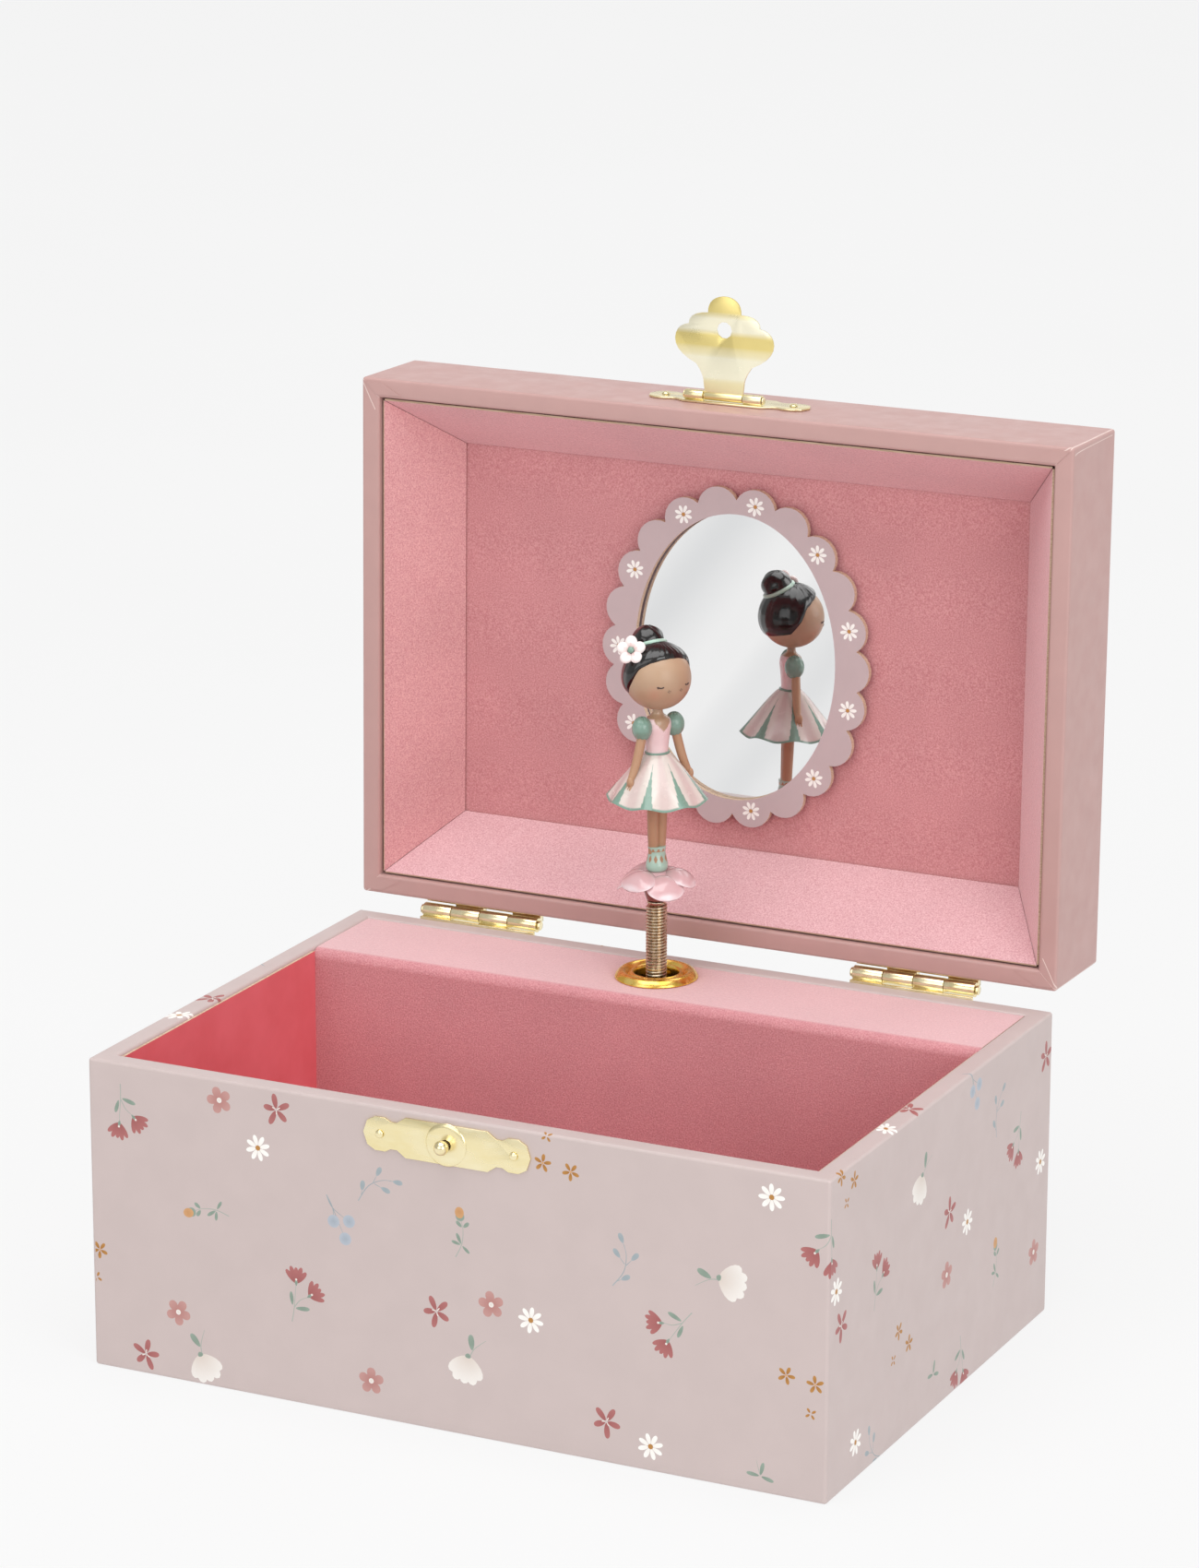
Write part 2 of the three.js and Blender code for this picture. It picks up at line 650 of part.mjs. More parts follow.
function petalFoot() {
  const base = springTopZ + 1.1;
  const neck = turned([[0, 0], [2.6, 0], [3.4, 2], [4.4, 4.6], [3.6, 7], [2.4, 7.4], [0, 7.4]], 20);
  const petals = [];
  for (let i = 0; i < petalCount; i += 1) {
    const petal = ball(4.7, [0, 0, 0], [1, 0.88, 0.42], 6).rotateY(12 * degrees);
    petal.translate(petalReach - 4.8, 0, 4.2).rotateZ((2 * Math.PI * (i + 0.5)) / petalCount);
    petals.push(petal);
  }
  return piece("petal_foot", petalPaint, join(neck, ...petals).translate(0, 0, base));
}

function dancerFigure() {
  const hem = soleZ + 15;
  const waist = hem + 14.2;
  const chin = waist + 10.6;
  const head = chin + headRadius;
  const skirtProfile = [
    [0, 0.9],
    [skirtRadius - 1, -0.1],
    [skirtRadius, 0.3],
    [9.6, 5.4],
    [6.6, 10.2],
    [3, 14.2],
    [2.7, 15.2],
    [0, 15.2],
  ];
  const bodiceProfile = [
    [0, 0],
    [2.7, 0],
    [3.1, 4.5],
    [3.6, 7.2],
    [2.2, 9],
    [1.2, 9.6],
    [1.2, 12.5],
    [0, 12.5],
  ];
  const skirt = turned(skirtProfile, 20).translate(0, 0, hem);
  const bodice = turned(bodiceProfile, 12).scale(1, 0.82, 1).translate(0, 0, waist);
  const parts = [skirt, bodice];
  for (const side of [-1, 1]) {
    parts.push(limb([side * 1.2, 0, soleZ + 2], [side * 1.3, 0, hem + 3], 1.1, 1.5));
    parts.push(ball(1.75, [side * 1.15, -0.5, soleZ + 1.4], [0.78, 1.15, 0.78], 5));
    parts.push(ball(2.7, [side * 4.6, 0, waist + 7], [0.92, 0.92, 1.1], 5));
    parts.push(limb([side * 5.2, 0, waist + 5.4], [side * 7, -1.6, waist - 4.4], 1, 0.85));
    parts.push(ball(1, [side * 7.1, -1.8, waist - 5], [1, 1, 1.2], 4));
  }
  parts.push(ball(headRadius, [0, 0, head], [1, 1, 1], 8));
  parts.push(ball(4.2, [0, 3, head + headRadius + 0.6], [1, 1, 0.92], 5));
  parts.push(ball(2.9, [-6.2, 2.2, head + 6.6], [0.8, 1, 1], 5));
  return piece("dancer_figure", figurePaint, join(...parts));
}

// ---------- movement ----------

const mountingScrews = [[spindleX - 15, barrelHeight - 14], [spindleX - 15, barrelHeight + 14]];
const combLow = barrelHeight - drumRadius - 24;
const combHigh = barrelHeight - drumRadius - 0.9;
const combScrewX = [drumX + 7, drumX + drumLength - 7];
const combScrewZ = combLow + 4;
const combBack = spindleY + 0.5;

// The bedplate casting with its bearing lugs and the ledge for the comb.
function bedplate() {
  const lugY = [spindleY - 2.6, bedplateFrontY];
  const guideX = [spindleX - 3.5, spindleX + 3.5];
  const lugs = [
    block([drumX - 1.5, drumX - 0.5], lugY, [barrelHeight - 3, barrelHeight + 3]),
    block([wheelX + 3, wheelX + 4.4], lugY, [barrelHeight - 3, governorZ + 2.6]),
    block([governorX + 11, governorX + 12.4], lugY, [governorZ - 2.6, governorZ + 2.6]),
    block(guideX, lugY, [barrelHeight + 14, barrelHeight + 16]),
    block(guideX, lugY, [deckZ - 9, deckZ - 7]),
    block([drumX, drumX + drumLength], [combBack + 0.05, bedplateFrontY], [combLow, combLow + 8]),
  ];
  const low = combLow - 2;
  const plateY = [bedplateFrontY - 0.1, bedplateBackY];
  const plate = block([spindleX - 20, governorX + 14], plateY, [low, governorZ + 4]);
  const mast = block([spindleX - 5, spindleX + 5], plateY, [low, deckZ - 5]);
  const shaftHole = shaftRadius + clearance;
  const holes = [
    bar("y", arborRadius + clearance, 4, [spindleX, bedplateFrontY - 1, barrelHeight]),
    bar("x", shaftHole, governorX - drumX + 6, [drumX - 3, spindleY, barrelHeight], 16),
    bar("x", 0.7 + clearance, 24, [wheelX - 3, spindleY, governorZ], 12),
    bar("z", shaftHole, deckZ - barrelHeight, [spindleX, spindleY, barrelHeight + 12], 16),
    ...mountingScrews.map(([x, z]) => bar("y", 1.5 + clearance, 5, [x, bedplateFrontY - 1, z], 16)),
    ...combScrewX.map((x) => bar("y", 1.1 + clearance, 4.2, [x, combBack - 0.1, combScrewZ], 12)),
  ];
  return piece("movement_bedplate", steel, cut(join(plate, mast, ...lugs), ...holes));
}

// The spring barrel: an open cup whose closed back carries the crown teeth.
function springBarrel() {
  const back = 1.2;
  const profile = [
    [arborRadius + clearance, 0],
    [arborRadius + 1.2, 0],
    [arborRadius + 1.2, barrelLength - back],
    [barrelRadius - barrelWall, barrelLength - back],
    [barrelRadius - barrelWall, 0],
    [barrelRadius, 0],
    [barrelRadius, barrelLength],
    [arborRadius + clearance, barrelLength],
    [arborRadius + clearance, 0],
  ];
  const cup = along("y", turned(profile, 30), [0, 0, 0]);
  const width = crownPitch * toothShare;
  const rise = toothRoot + toothRise;
  const tooth = new THREE.Shape();
  tooth.moveTo(-width * 0.6, -0.1);
  tooth.lineTo(width * 0.6, -0.1);
  tooth.lineTo(width * 0.28, rise);
  tooth.lineTo(-width * 0.28, rise);
  const teeth = [];
  for (let i = 0; i < crownTeeth; i += 1) {
    const wedge = sheet(tooth, crownFace).translate(0, barrelLength, crownRadius - crownFace / 2);
    teeth.push(wedge.rotateY((2 * Math.PI * i) / crownTeeth));
  }
  const whole = join(cup, ...teeth).translate(spindleX, barrelBackY - barrelLength, barrelHeight);
  return piece("spring_barrel", brass, whole);
}

// The mainspring, a spiral strip in the barrel.
function mainspring() {
  const shape = new THREE.Shape();
  const turns = 5;
  const inner = arborRadius + 1.6;
  const outer = barrelRadius - barrelWall - 0.5;
  const strip = 0.45;
  const steps = turns * 10;
  const edge = (i, offset) => {
    const angle = (2 * Math.PI * turns * i) / steps;
    const radius = inner + ((outer - inner - strip) * i) / steps + offset;
    return new THREE.Vector2(radius * Math.cos(angle), radius * Math.sin(angle));
  };
  const points = [];
  for (let i = 0; i <= steps; i += 1) points.push(edge(i, strip));
  for (let i = steps; i >= 0; i -= 1) points.push(edge(i, 0));
  shape.setFromPoints(points);
  const from = barrelBackY - barrelLength + 0.8;
  const width = barrelLength - 3;
  return piece("mainspring", darkSteel, along("y", sheet(shape, width), [spindleX, from, barrelHeight]));
}

// The pinned cylinder with its driving pinion and the wheel that drives the governor.
function musicCylinder() {
  const pinionFrom = spindleX + crownRadius - crownFace / 2 - 0.3;
  const gapFront = -Math.PI / 2 + Math.PI / pinionTeeth;
  const pinion = sheet(gearShape(pinionTeeth, pinionRadius, gapFront), crownFace + 0.6);
  const wheel = sheet(gearShape(wheelTeeth, wheelRadius, Math.PI), 1.8);
  const parts = [
    bar("x", shaftRadius, wheelX + 5 - pinionFrom, [pinionFrom, spindleY, barrelHeight]),
    bar("x", drumRadius, drumLength, [drumX, spindleY, barrelHeight], 24),
    along("x", pinion, [pinionFrom, spindleY, barrelHeight]),
    along("x", wheel, [wheelX, spindleY, barrelHeight]),
    bar("x", 3, 1.6, [drumX + drumLength - 0.1, spindleY, barrelHeight]),
  ];
  const notePitch = (drumLength - 3) / noteCount;
  for (let note = 0; note < noteCount; note += 1) {
    // the golden angle scatters the pins as a tune does
    const pin = block([-0.18, 0.18], [-0.18, 0.18], [drumRadius - 0.3, drumRadius + 0.5]);
    pin.rotateX(goldenAngle * note + 0.4);
    parts.push(pin.translate(drumX + 1.5 + notePitch * (note + 0.5), spindleY, barrelHeight));
  }
  return piece("music_cylinder", brass, join(...parts));
}

// The tuned comb: one tooth for each note, longer towards the bass end.
function comb() {
  const shape = new THREE.Shape();
  const pitch = (drumLength - 3) / noteCount;
  const left = drumX + 1.5;
  const right = left + drumLength - 2;
  const points = [[left - 1, combLow], [right, combLow], [right, combLow + 8]];
  for (let note = noteCount - 1; note >= 0; note -= 1) {
    const from = left + note * pitch;
    const root = combLow + 8.5 + note * 0.2;
    points.push([from + pitch * 0.86, root], [from + pitch * 0.86, combHigh]);
    points.push([from + pitch * 0.14, combHigh], [from + pitch * 0.14, root]);
  }
  points.push([left - 1, combLow + 8]);
  shape.setFromPoints(points.map(([x, z]) => new THREE.Vector2(x, z)));
  const plate = sheet(shape, 1).rotateX(Math.PI / 2).translate(0, combBack, 0);
  const holes = combScrewX.map((x) => bar("y", 1.1 + clearance, 4, [x, combBack - 2, combScrewZ], 12));
  return piece("tuned_comb", steel, cut(plate, ...holes));
}

// A cheese-headed screw along +Y with its head towards the front, from the seat at y.
function screw(name, x, y, z, shank, length, facing) {
  const head = shank * 1.8;
  const top = -shank * 1.1;
  const profile = [
    [0, top],
    [head, top],
    [head, -0.05],
    [shank, -0.05],
    [shank, length],
    [0, length],
  ];
  const body = turned(profile, 16);
  const slot = block([-head - 1, head + 1], [-0.3, 0.3], [top - 1, top / 2]);
  const made = cut(body, slot);
  made.rotateX((-facing * Math.PI) / 2).translate(x, y, z);
  return piece(name, steel, made);
}

function governor() {
  const gapDown = Math.PI / governorTeeth;
  const from = wheelX - 0.4;
  const pinion = sheet(gearShape(governorTeeth, governorRadius, gapDown), 2.6);
  const bladeZ = [governorZ - fanReach, governorZ + fanReach];
  const parts = [
    bar("x", 0.7, governorX + 12 - from, [from, spindleY, governorZ], 12),
    along("x", pinion, [from, spindleY, governorZ]),
    block([governorX + 1, governorX + 9], [spindleY - 0.3, spindleY + 0.3], bladeZ),
    bar("x", 1.4, 9, [governorX + 0.5, spindleY, governorZ], 12),
  ];
  return piece("governor_fan", brass, join(...parts));
}

// The spindle that turns the dancer, with the plug that carries the spring's foot.
function spindle() {
  const pinionFrom = barrelHeight + crownRadius - crownFace / 2 - 0.3;
  const gapFront = -Math.PI / 2 + Math.PI / pinionTeeth;
  const seat = deckZ - springBelow - 0.1;
  const profile = [
    [0, pinionFrom],
    [shaftRadius, pinionFrom],
    [shaftRadius, seat - 1.4],
    [3.2, seat - 1.4],
    [3.2, seat],
    [plugRadius, seat],
    [plugRadius, pivotZ - 1],
    [0, pivotZ - 1],
  ];
  const pinion = sheet(gearShape(pinionTeeth, pinionRadius, gapFront), crownFace + 0.6);
  pinion.translate(0, 0, pinionFrom);
  return piece("dancer_spindle", brass, join(turned(profile, 20), pinion).translate(spindleX, spindleY, 0));
}

// ---------- winding ----------

function windingArbor() {
  const front = barrelBackY - barrelLength - 1;
  const profile = [
    [0, 0],
    [arborRadius, 0],
    [arborRadius, bedplateFrontY - front - 1.6],
    [3.4, bedplateFrontY - front - 1.6],
    [3.4, bedplateFrontY - front - 0.2],
    [arborRadius, bedplateFrontY - front - 0.2],
    [arborRadius, halfDepth + 5 - front],
    [0, halfDepth + 5 - front],
  ];
  return piece("winding_arbor", steel, along("y", turned(profile, 20), [spindleX, front, barrelHeight]));
}

// The butterfly key, with a hole through each wing.
function windingKey() {
  const hubFrom = halfDepth + 1.4;
  const hub = bar("y", 3.2, 7.4, [0, hubFrom, 0], 20);
  const wings = [-1, 1].map((side) => {
    const wing = new THREE.Shape();
    wing.absellipse(0, 0, keySpan / 4, 5.4, 0, 2 * Math.PI, false);
    const eye = new THREE.Path();
    eye.absellipse(0.6 * side, 0, keySpan / 9, 2.6, 0, 2 * Math.PI, true);
    wing.holes.push(eye);
    return sheet(wing, 1.6, 10).translate((side * keySpan) / 4, hubFrom + 10, -0.8);
  });
  const bore = bar("y", arborRadius + clearance, 4, [0, hubFrom - 0.2, 0], 20);
  const whole = cut(join(hub, ...wings, block([-2.4, 2.4], [hubFrom + 6, hubFrom + 11], [-0.8, 0.8])), bore);
  return piece("winding_key", brass, whole.translate(spindleX, 0, barrelHeight));
}

function escutcheon() {
  const washer = tube("y", 7, arborRadius + 1, 0.8, [spindleX, halfDepth, barrelHeight], 24);
  return piece("key_escutcheon", brass, washer);
}

// ---------- assembly ----------

const root = new THREE.Group();

root.add(...baseBoards(), ...baseLining(), mechanismCover(), eyelet(), ...catchPieces());
root.add(nail("catch_nail_left", -1, -halfDepth - plateThickness, knobZ));
root.add(nail("catch_nail_right", 1, -halfDepth - plateThickness, knobZ));

// the lid's pieces keep their closed places inside a group that turns about the hinge pins
const lidSwing = new THREE.Group();
lidSwing.position.set(0, hingeY, hingeZ);
lidSwing.rotation.x = -lidOpenAngle * degrees;
const lid = new THREE.Group();
lid.position.set(0, -hingeY, -hingeZ);
lidSwing.add(lid);
root.add(lidSwing);
lid.add(...lidBoards(), ...lidLining(), ...mirror(), claspPlate(), claspSwivelPin());
lid.add(nail("clasp_nail_left", -1, plateFaceY, claspZ + 3.2));
lid.add(nail("clasp_nail_right", 1, plateFaceY, claspZ + 3.2));

for (const [side, centre] of Object.entries(hingeCentres)) {
  root.add(piece(`hinge_${side}_base_leaf`, brass, hingeLeaf(centre, -1, 0, 0)));
  root.add(piece(`hinge_${side}_pin`, brass, hingeSwivelPin(centre)));
  lid.add(piece(`hinge_${side}_lid_leaf`, brass, hingeLeaf(centre, 1, 1, seam)));
}

const haspSwing = new THREE.Group();
haspSwing.position.set(0, claspY, claspZ);
haspSwing.rotation.x = -haspClosedAngle * degrees;
haspSwing.add(piece("hasp", brass, haspGeometry()));
lid.add(haspSwing);

root.add(dancerSpring(), springPeg());
const dancer = new THREE.Group();
dancer.position.set(spindleX, spindleY, 0);
dancer.rotation.z = dancerTurn * degrees;
dancer.add(petalFoot(), dancerFigure());
root.add(dancer);

root.add(bedplate(), springBarrel(), mainspring(), musicCylinder(), comb(), governor(), spindle());
combScrewX.forEach((x, i) => {
  root.add(screw(`comb_screw_${i + 1}`, x, combBack - 1.05, combScrewZ, 1.1, 4, 1));
});
mountingScrews.forEach(([x, z], i) => {
  root.add(screw(`mounting_screw_${i + 1}`, x, halfDepth, z, 1.5, 6.8, -1));
});
root.add(windingArbor(), windingKey(), escutcheon());

export default root;
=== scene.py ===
"""The looks of a ballerina jewellery box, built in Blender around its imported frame.

Shapes are worked out in millimetres in the frame's own axes and become metres in build().
The lid's pieces are laid out as if it were shut, then swung open about the hinge pins.
"""

import math

import bmesh
import bpy
import numpy as np
from mathutils import Matrix, Vector
from mathutils.geometry import delaunay_2d_cdt


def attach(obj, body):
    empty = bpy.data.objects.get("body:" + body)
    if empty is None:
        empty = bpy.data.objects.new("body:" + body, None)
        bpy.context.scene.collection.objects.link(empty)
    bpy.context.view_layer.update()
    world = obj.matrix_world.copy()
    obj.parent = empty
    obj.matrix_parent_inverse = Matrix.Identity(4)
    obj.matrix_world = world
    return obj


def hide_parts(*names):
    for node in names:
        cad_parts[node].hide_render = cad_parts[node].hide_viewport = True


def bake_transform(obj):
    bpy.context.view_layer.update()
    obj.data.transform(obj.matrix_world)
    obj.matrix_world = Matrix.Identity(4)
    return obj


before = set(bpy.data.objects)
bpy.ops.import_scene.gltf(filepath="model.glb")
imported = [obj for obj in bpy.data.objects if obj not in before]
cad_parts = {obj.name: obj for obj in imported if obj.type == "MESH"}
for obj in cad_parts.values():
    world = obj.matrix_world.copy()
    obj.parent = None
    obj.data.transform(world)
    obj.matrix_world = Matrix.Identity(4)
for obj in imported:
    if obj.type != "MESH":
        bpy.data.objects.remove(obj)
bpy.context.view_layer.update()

MM = 0.001
TAU = 2 * math.pi

# ---------- dimensions shared with the CAD model, in millimetres ----------

HALF_X = 94.0
HALF_Y = 66.0
BASE_TOP = 76.0
BASE_BOARD = 5.2
FLOOR_TOP = 3.0
LID_RIM = 76.3
LID_TOP = 103.5
LID_BOARD = 4.8
LID_LINER = 1.2
SEAM = 0.1
HINGE_Y = 68.8
HINGE_Z = 77.6
LID_ANGLE = math.radians(-91)
SPINDLE = Vector((-3.0, 49.5, 0.0))
DANCER_TURN = math.radians(58)
KEY_HOLE = (-3.0, 38.0)
COVER_FRONT = 32.0
COVER_BEND = 2.6
COVER_CARD = 1.6
DECK_Z = 75.7

HINGE_POINT = Vector((0, HINGE_Y, HINGE_Z))
LID_SWING = (
    Matrix.Translation(HINGE_POINT) @ Matrix.Rotation(LID_ANGLE, 4, "X") @ Matrix.Translation(-HINGE_POINT)
)
DANCER_PLACE = Matrix.Translation(SPINDLE) @ Matrix.Rotation(DANCER_TURN, 4, "Z")


# ---------- colours and materials ----------

def colour(code):
    """A linear RGBA colour from a #rrggbb code."""
    channels = [int(code[i : i + 2], 16) / 255 for i in (1, 3, 5)]
    linear = [c / 12.92 if c <= 0.04045 else ((c + 0.055) / 1.055) ** 2.4 for c in channels]
    return (*linear, 1.0)


def mixed(first, second, share):
    return tuple(a + (b - a) * share for a, b in zip(first, second))


class Look:
    """A procedural material, put together step by step around one Principled shader."""

    def __init__(self, name, base, roughness, metallic=0.0, **settings):
        self.material = bpy.data.materials.new(name)
        self.material.use_nodes = True
        self.material.diffuse_color = colour(base)
        self.tree = self.material.node_tree
        self.shader = self.tree.nodes["Principled BSDF"]
        self.coordinates = self.tree.nodes.new("ShaderNodeTexCoord").outputs["Object"]
        self.set("Base Color", colour(base))
        self.set("Roughness", roughness)
        self.set("Metallic", metallic)
        for socket, value in settings.items():
            self.set(socket.replace("_", " "), value)

    def set(self, socket, value):
        self.shader.inputs[socket].default_value = value

    def node(self, kind, **links):
        made = self.tree.nodes.new("ShaderNode" + kind)
        for socket, source in links.items():
            self.tree.links.new(source, made.inputs[socket])
        return made

    def noise(self, grain, detail=3.0, stretch=(1, 1, 1)):
        """Noise whose features are about `grain` millimetres across."""
        place = self.node("Mapping", Vector=self.coordinates)
        place.inputs["Scale"].default_value = stretch
        made = self.node("TexNoise", Vector=place.outputs[0])
        made.inputs["Scale"].default_value = 1 / (grain * MM)
        made.inputs["Detail"].default_value = detail
        return made.outputs["Fac"]

    def ramp(self, source, low, high, start=0.35, end=0.65):
        made = self.node("ValToRGB", Fac=source)
        for element, place, value in zip(made.color_ramp.elements, (start, end), (low, high)):
            element.position = place
            element.color = value
        return made.outputs["Color"]

    def base(self, source):
        self.tree.links.new(source, self.shader.inputs["Base Color"])
        return self

    def tint(self, low, high, grain, detail=3.0, stretch=(1, 1, 1)):
        """Base colour that wanders between two colours."""
        return self.base(self.ramp(self.noise(grain, detail, stretch), colour(low), colour(high)))

    def multiply(self, first, second):
        made = self.tree.nodes.new("ShaderNodeMix")
        made.data_type = "RGBA"
        made.blend_type = "MULTIPLY"
        made.inputs["Factor"].default_value = 1.0
        self.tree.links.new(first, made.inputs["A"])
        self.tree.links.new(second, made.inputs["B"])
        return made.outputs["Result"]

    def painted_reflection_bands(self, way, width, low, high, start=0.35, end=0.65):
        """Painted reflections: base colour in soft bands across a direction, about `width` millimetres wide."""
        across = self.node("VectorMath", Vector=self.coordinates)
        across.operation = "DOT_PRODUCT"
        across.inputs[1].default_value = way
        made = self.tree.nodes.new("ShaderNodeTexNoise")
        made.noise_dimensions = "1D"
        self.tree.links.new(across.outputs["Value"], made.inputs["W"])
        made.inputs["Scale"].default_value = 1 / (width * MM)
        made.inputs["Detail"].default_value = 1.0
        return self.base(self.ramp(made.outputs["Fac"], colour(low), colour(high), start, end))

    def painted(self, grain, dark):
        """Base colour from the mesh's paint, mottled by noise."""
        paint = self.tree.nodes.new("ShaderNodeVertexColor")
        paint.layer_name = "paint"
        mottle = self.ramp(self.noise(grain, 4.0), (dark, dark, dark, 1), (1, 1, 1, 1))
        return self.base(self.multiply(paint.outputs["Color"], mottle))

    def span(self, source, start, end, low, high):
        """Carries start..end of a source over to low..high."""
        made = self.node("MapRange", Value=source)
        for socket, value in (("From Min", start), ("From Max", end), ("To Min", low), ("To Max", high)):
            made.inputs[socket].default_value = value
        return made.outputs[0]

    def painted_sheen(self, base, pale, most):
        """Painted sheen: the base colour mixed towards a pale colour where the surface is seen at a low angle.
        """
        weight = self.tree.nodes.new("ShaderNodeLayerWeight")
        weight.inputs["Blend"].default_value = 0.5
        made = self.tree.nodes.new("ShaderNodeMix")
        made.data_type = "RGBA"
        made.inputs["B"].default_value = colour(pale)
        self.tree.links.new(self.span(weight.outputs["Facing"], 0.4, 0.95, 0.0, most), made.inputs["Factor"])
        self.tree.links.new(base, made.inputs["A"])
        return made.outputs["Result"]

    def shine(self, low, high, grain, stretch=(1, 1, 1)):
        """Roughness that wanders between two values."""
        wander = self.span(self.noise(grain, 3.0, stretch), 0.3, 0.7, low, high)
        self.tree.links.new(wander, self.shader.inputs["Roughness"])
        return self

    def relief(self, grain, height, detail=3.0, stretch=(1, 1, 1)):
        """Bumps about `height` millimetres high, on top of any made before."""
        bump = self.node("Bump", Height=self.noise(grain, detail, stretch))
        bump.inputs["Distance"].default_value = height * MM
        socket = self.shader.inputs["Normal"]
        if socket.links:
            self.tree.links.new(socket.links[0].from_socket, bump.inputs["Normal"])
        self.tree.links.new(bump.outputs["Normal"], socket)
        return self


PAPER_CODE = "#c8b8b5"
LID_CODE = "#bf9994"
CARD_CODE = "#cdb59b"
FRAME_CODE = "#c3afb0"
PAPER_COLOUR = colour(PAPER_CODE)
LID_COLOUR = colour(LID_CODE)
CARD_COLOUR = colour(CARD_CODE)
FRAME_COLOUR = colour(FRAME_CODE)
SKIN = colour("#b8987c")
SKIN_LEG = colour("#b99070")
SHELL_PINK = colour("#e4bbbe")
GREEN = colour("#7f9f90")
MINT = colour("#b2d2c1")

base_paper = Look("wrapped print paper", PAPER_CODE, 0.46, Specular_IOR_Level=0.35)
base_paper.painted(9.0, 0.972).relief(0.35, 0.012, 5.0).relief(24.0, 0.10, 2.0).shine(0.40, 0.55, 6.0)

lid_paper = Look("wrapped rose paper", LID_CODE, 0.42, Specular_IOR_Level=0.4)
lid_paper.painted(7.0, 0.965).relief(0.35, 0.012, 5.0)
lid_paper.relief(18.0, 0.12, 2.0, (0.4, 1, 1)).shine(0.34, 0.5, 5.0)

edge_card = Look("raw card edge", CARD_CODE, 0.85)
edge_card.tint("#bfa288", "#dcc6ac", 0.5, 4.0, (0.1, 1, 3)).relief(0.3, 0.05)


def velvet(name, low, high, most=0.0):
    """Flocked card, fine-grained; `most` is how much painted sheen pales its base colour at a low angle."""
    made = Look(name, low, 0.9, Sheen_Weight=1.0, Sheen_Roughness=0.4, Specular_IOR_Level=0.15)
    made.set("Sheen Tint", colour("#fff4f4"))
    pile = made.multiply(
        made.ramp(made.noise(0.36, 3.0), colour(low), colour(high), 0.34, 0.68),
        made.ramp(made.noise(22.0, 4.0), (0.93, 0.93, 0.93, 1), (1, 1, 1, 1)),
    )
    # Where `most` is given, painted sheen pales the pile's colour at low angles.
    made.base(made.painted_sheen(pile, "#f6dcde", most) if most else pile)
    return made.relief(0.4, 0.10, 2.0).relief(0.9, 0.06, 2.0)


flock = velvet("flocked velvet", "#c68188", "#dea3a6", 0.6)

# The lid's panel and its four strips differ in base colour, which holds some of the light and shade
# between them.
panel_flock = velvet("lid panel velvet", "#c58084", "#dca1a2")
strip_flocks = {
    "front": velvet("lid front velvet", "#cb8087", "#e3a1a5"),
    "right": velvet("lid right velvet", "#c5757d", "#dd9398"),
    "back": velvet("lid back velvet", "#d59ea4", "#eec6c9"),
    "left": velvet("lid left velvet", "#d29195", "#ebb7b6"),
}

coral_card = Look("coral lining paper", "#da5a60", 0.5, Specular_IOR_Level=0.3)
coral_card.tint("#e36c73", "#ea757d", 14.0, 4.0).relief(0.4, 0.012, 4.0).relief(20.0, 0.15)


def metal(name, low, high, smooth, rough, grain=2.0, stretch=(1, 1, 1), dent=0.02):
    made = Look(name, high, smooth, 1.0)
    return made.tint(low, high, grain, 3.0, stretch).shine(smooth, rough, grain, stretch).relief(3.5, dent, 2.0)


brass = metal("pale brass", "#f4e4b0", "#faefc8", 0.2, 0.34, 5.0, (0.4, 1, 1), 0.008)
hasp_brass = metal("rolled pale brass", "#f3e2a0", "#fdf6d8", 0.26, 0.36, 5.0, dent=0.006)
# Soft bands in the hasp's base colour are painted reflections.
hasp_brass.painted_reflection_bands((0, 0, 1), 9.0, "#efdb90", "#fdf7dc", 0.42, 0.58)
bright_brass = metal("polished brass", "#f3e2b0", "#faeec8", 0.16, 0.26, 3.0, dent=0.004)
eyelet_brass = metal("deep gold eyelet", "#ecbd4e", "#fbdc80", 0.2, 0.34, 2.4, dent=0.015)
copper = metal("spring wire", "#bda489", "#d8ccb4", 0.22, 0.34, 0.8, dent=0.002)
steel = metal("bright steel", "#a9adb2", "#c8cbce", 0.25, 0.4, 1.0)
blue_steel = metal("blued steel", "#4d5258", "#6a7078", 0.3, 0.45, 1.0)
movement_brass = metal("movement brass", "#c7a24e", "#dcbd72", 0.25, 0.45, 1.0)

frame_card = Look("printed frame card", FRAME_CODE, 0.5, Specular_IOR_Level=0.35)
frame_card.painted(5.0, 0.97).relief(0.3, 0.01, 4.0)

mirror_glass = Look("silvered mirror", "#e9ecee", 0.015, 1.0)
# Soft diagonal bands in the mirror's base colour are painted reflections.
mirror_glass.painted_reflection_bands((0.8, 0, -0.6), 26.0, "#dedfe0", "#f2f2f2")


def enamel(name, smooth=0.16, coat=0.35, grain=3.0, dark=0.95):
    """Brushed-on glossy paint in the mesh's own colours."""
    made = Look(name, "#dddddd", smooth, Coat_Weight=coat, Coat_Roughness=0.08)
    return made.painted(grain, dark).relief(1.6, 0.05, 2.0).shine(smooth, smooth + 0.14, 2.0)


figure_paint = enamel("figure enamel")
skin_paint = enamel("figure skin", 0.34, 0.1, 4.0, 0.955)
petal_paint = enamel("petal enamel", 0.1, 0.6, 3.0, 0.97)
hair_paint = Look("black hair enamel", "#0b0908", 0.16, Coat_Weight=0.4, Coat_Roughness=0.1)
hair_paint.tint("#070606", "#17110f", 1.2, 3.0, (1, 1, 0.3)).relief(0.5, 0.05, 3.0, (1, 1, 0.25))
ink = Look("fine painted line", "#4a3a34", 0.4)
ink.tint("#3c2f2b", "#5a463e", 0.6)


# ---------- building meshes ----------

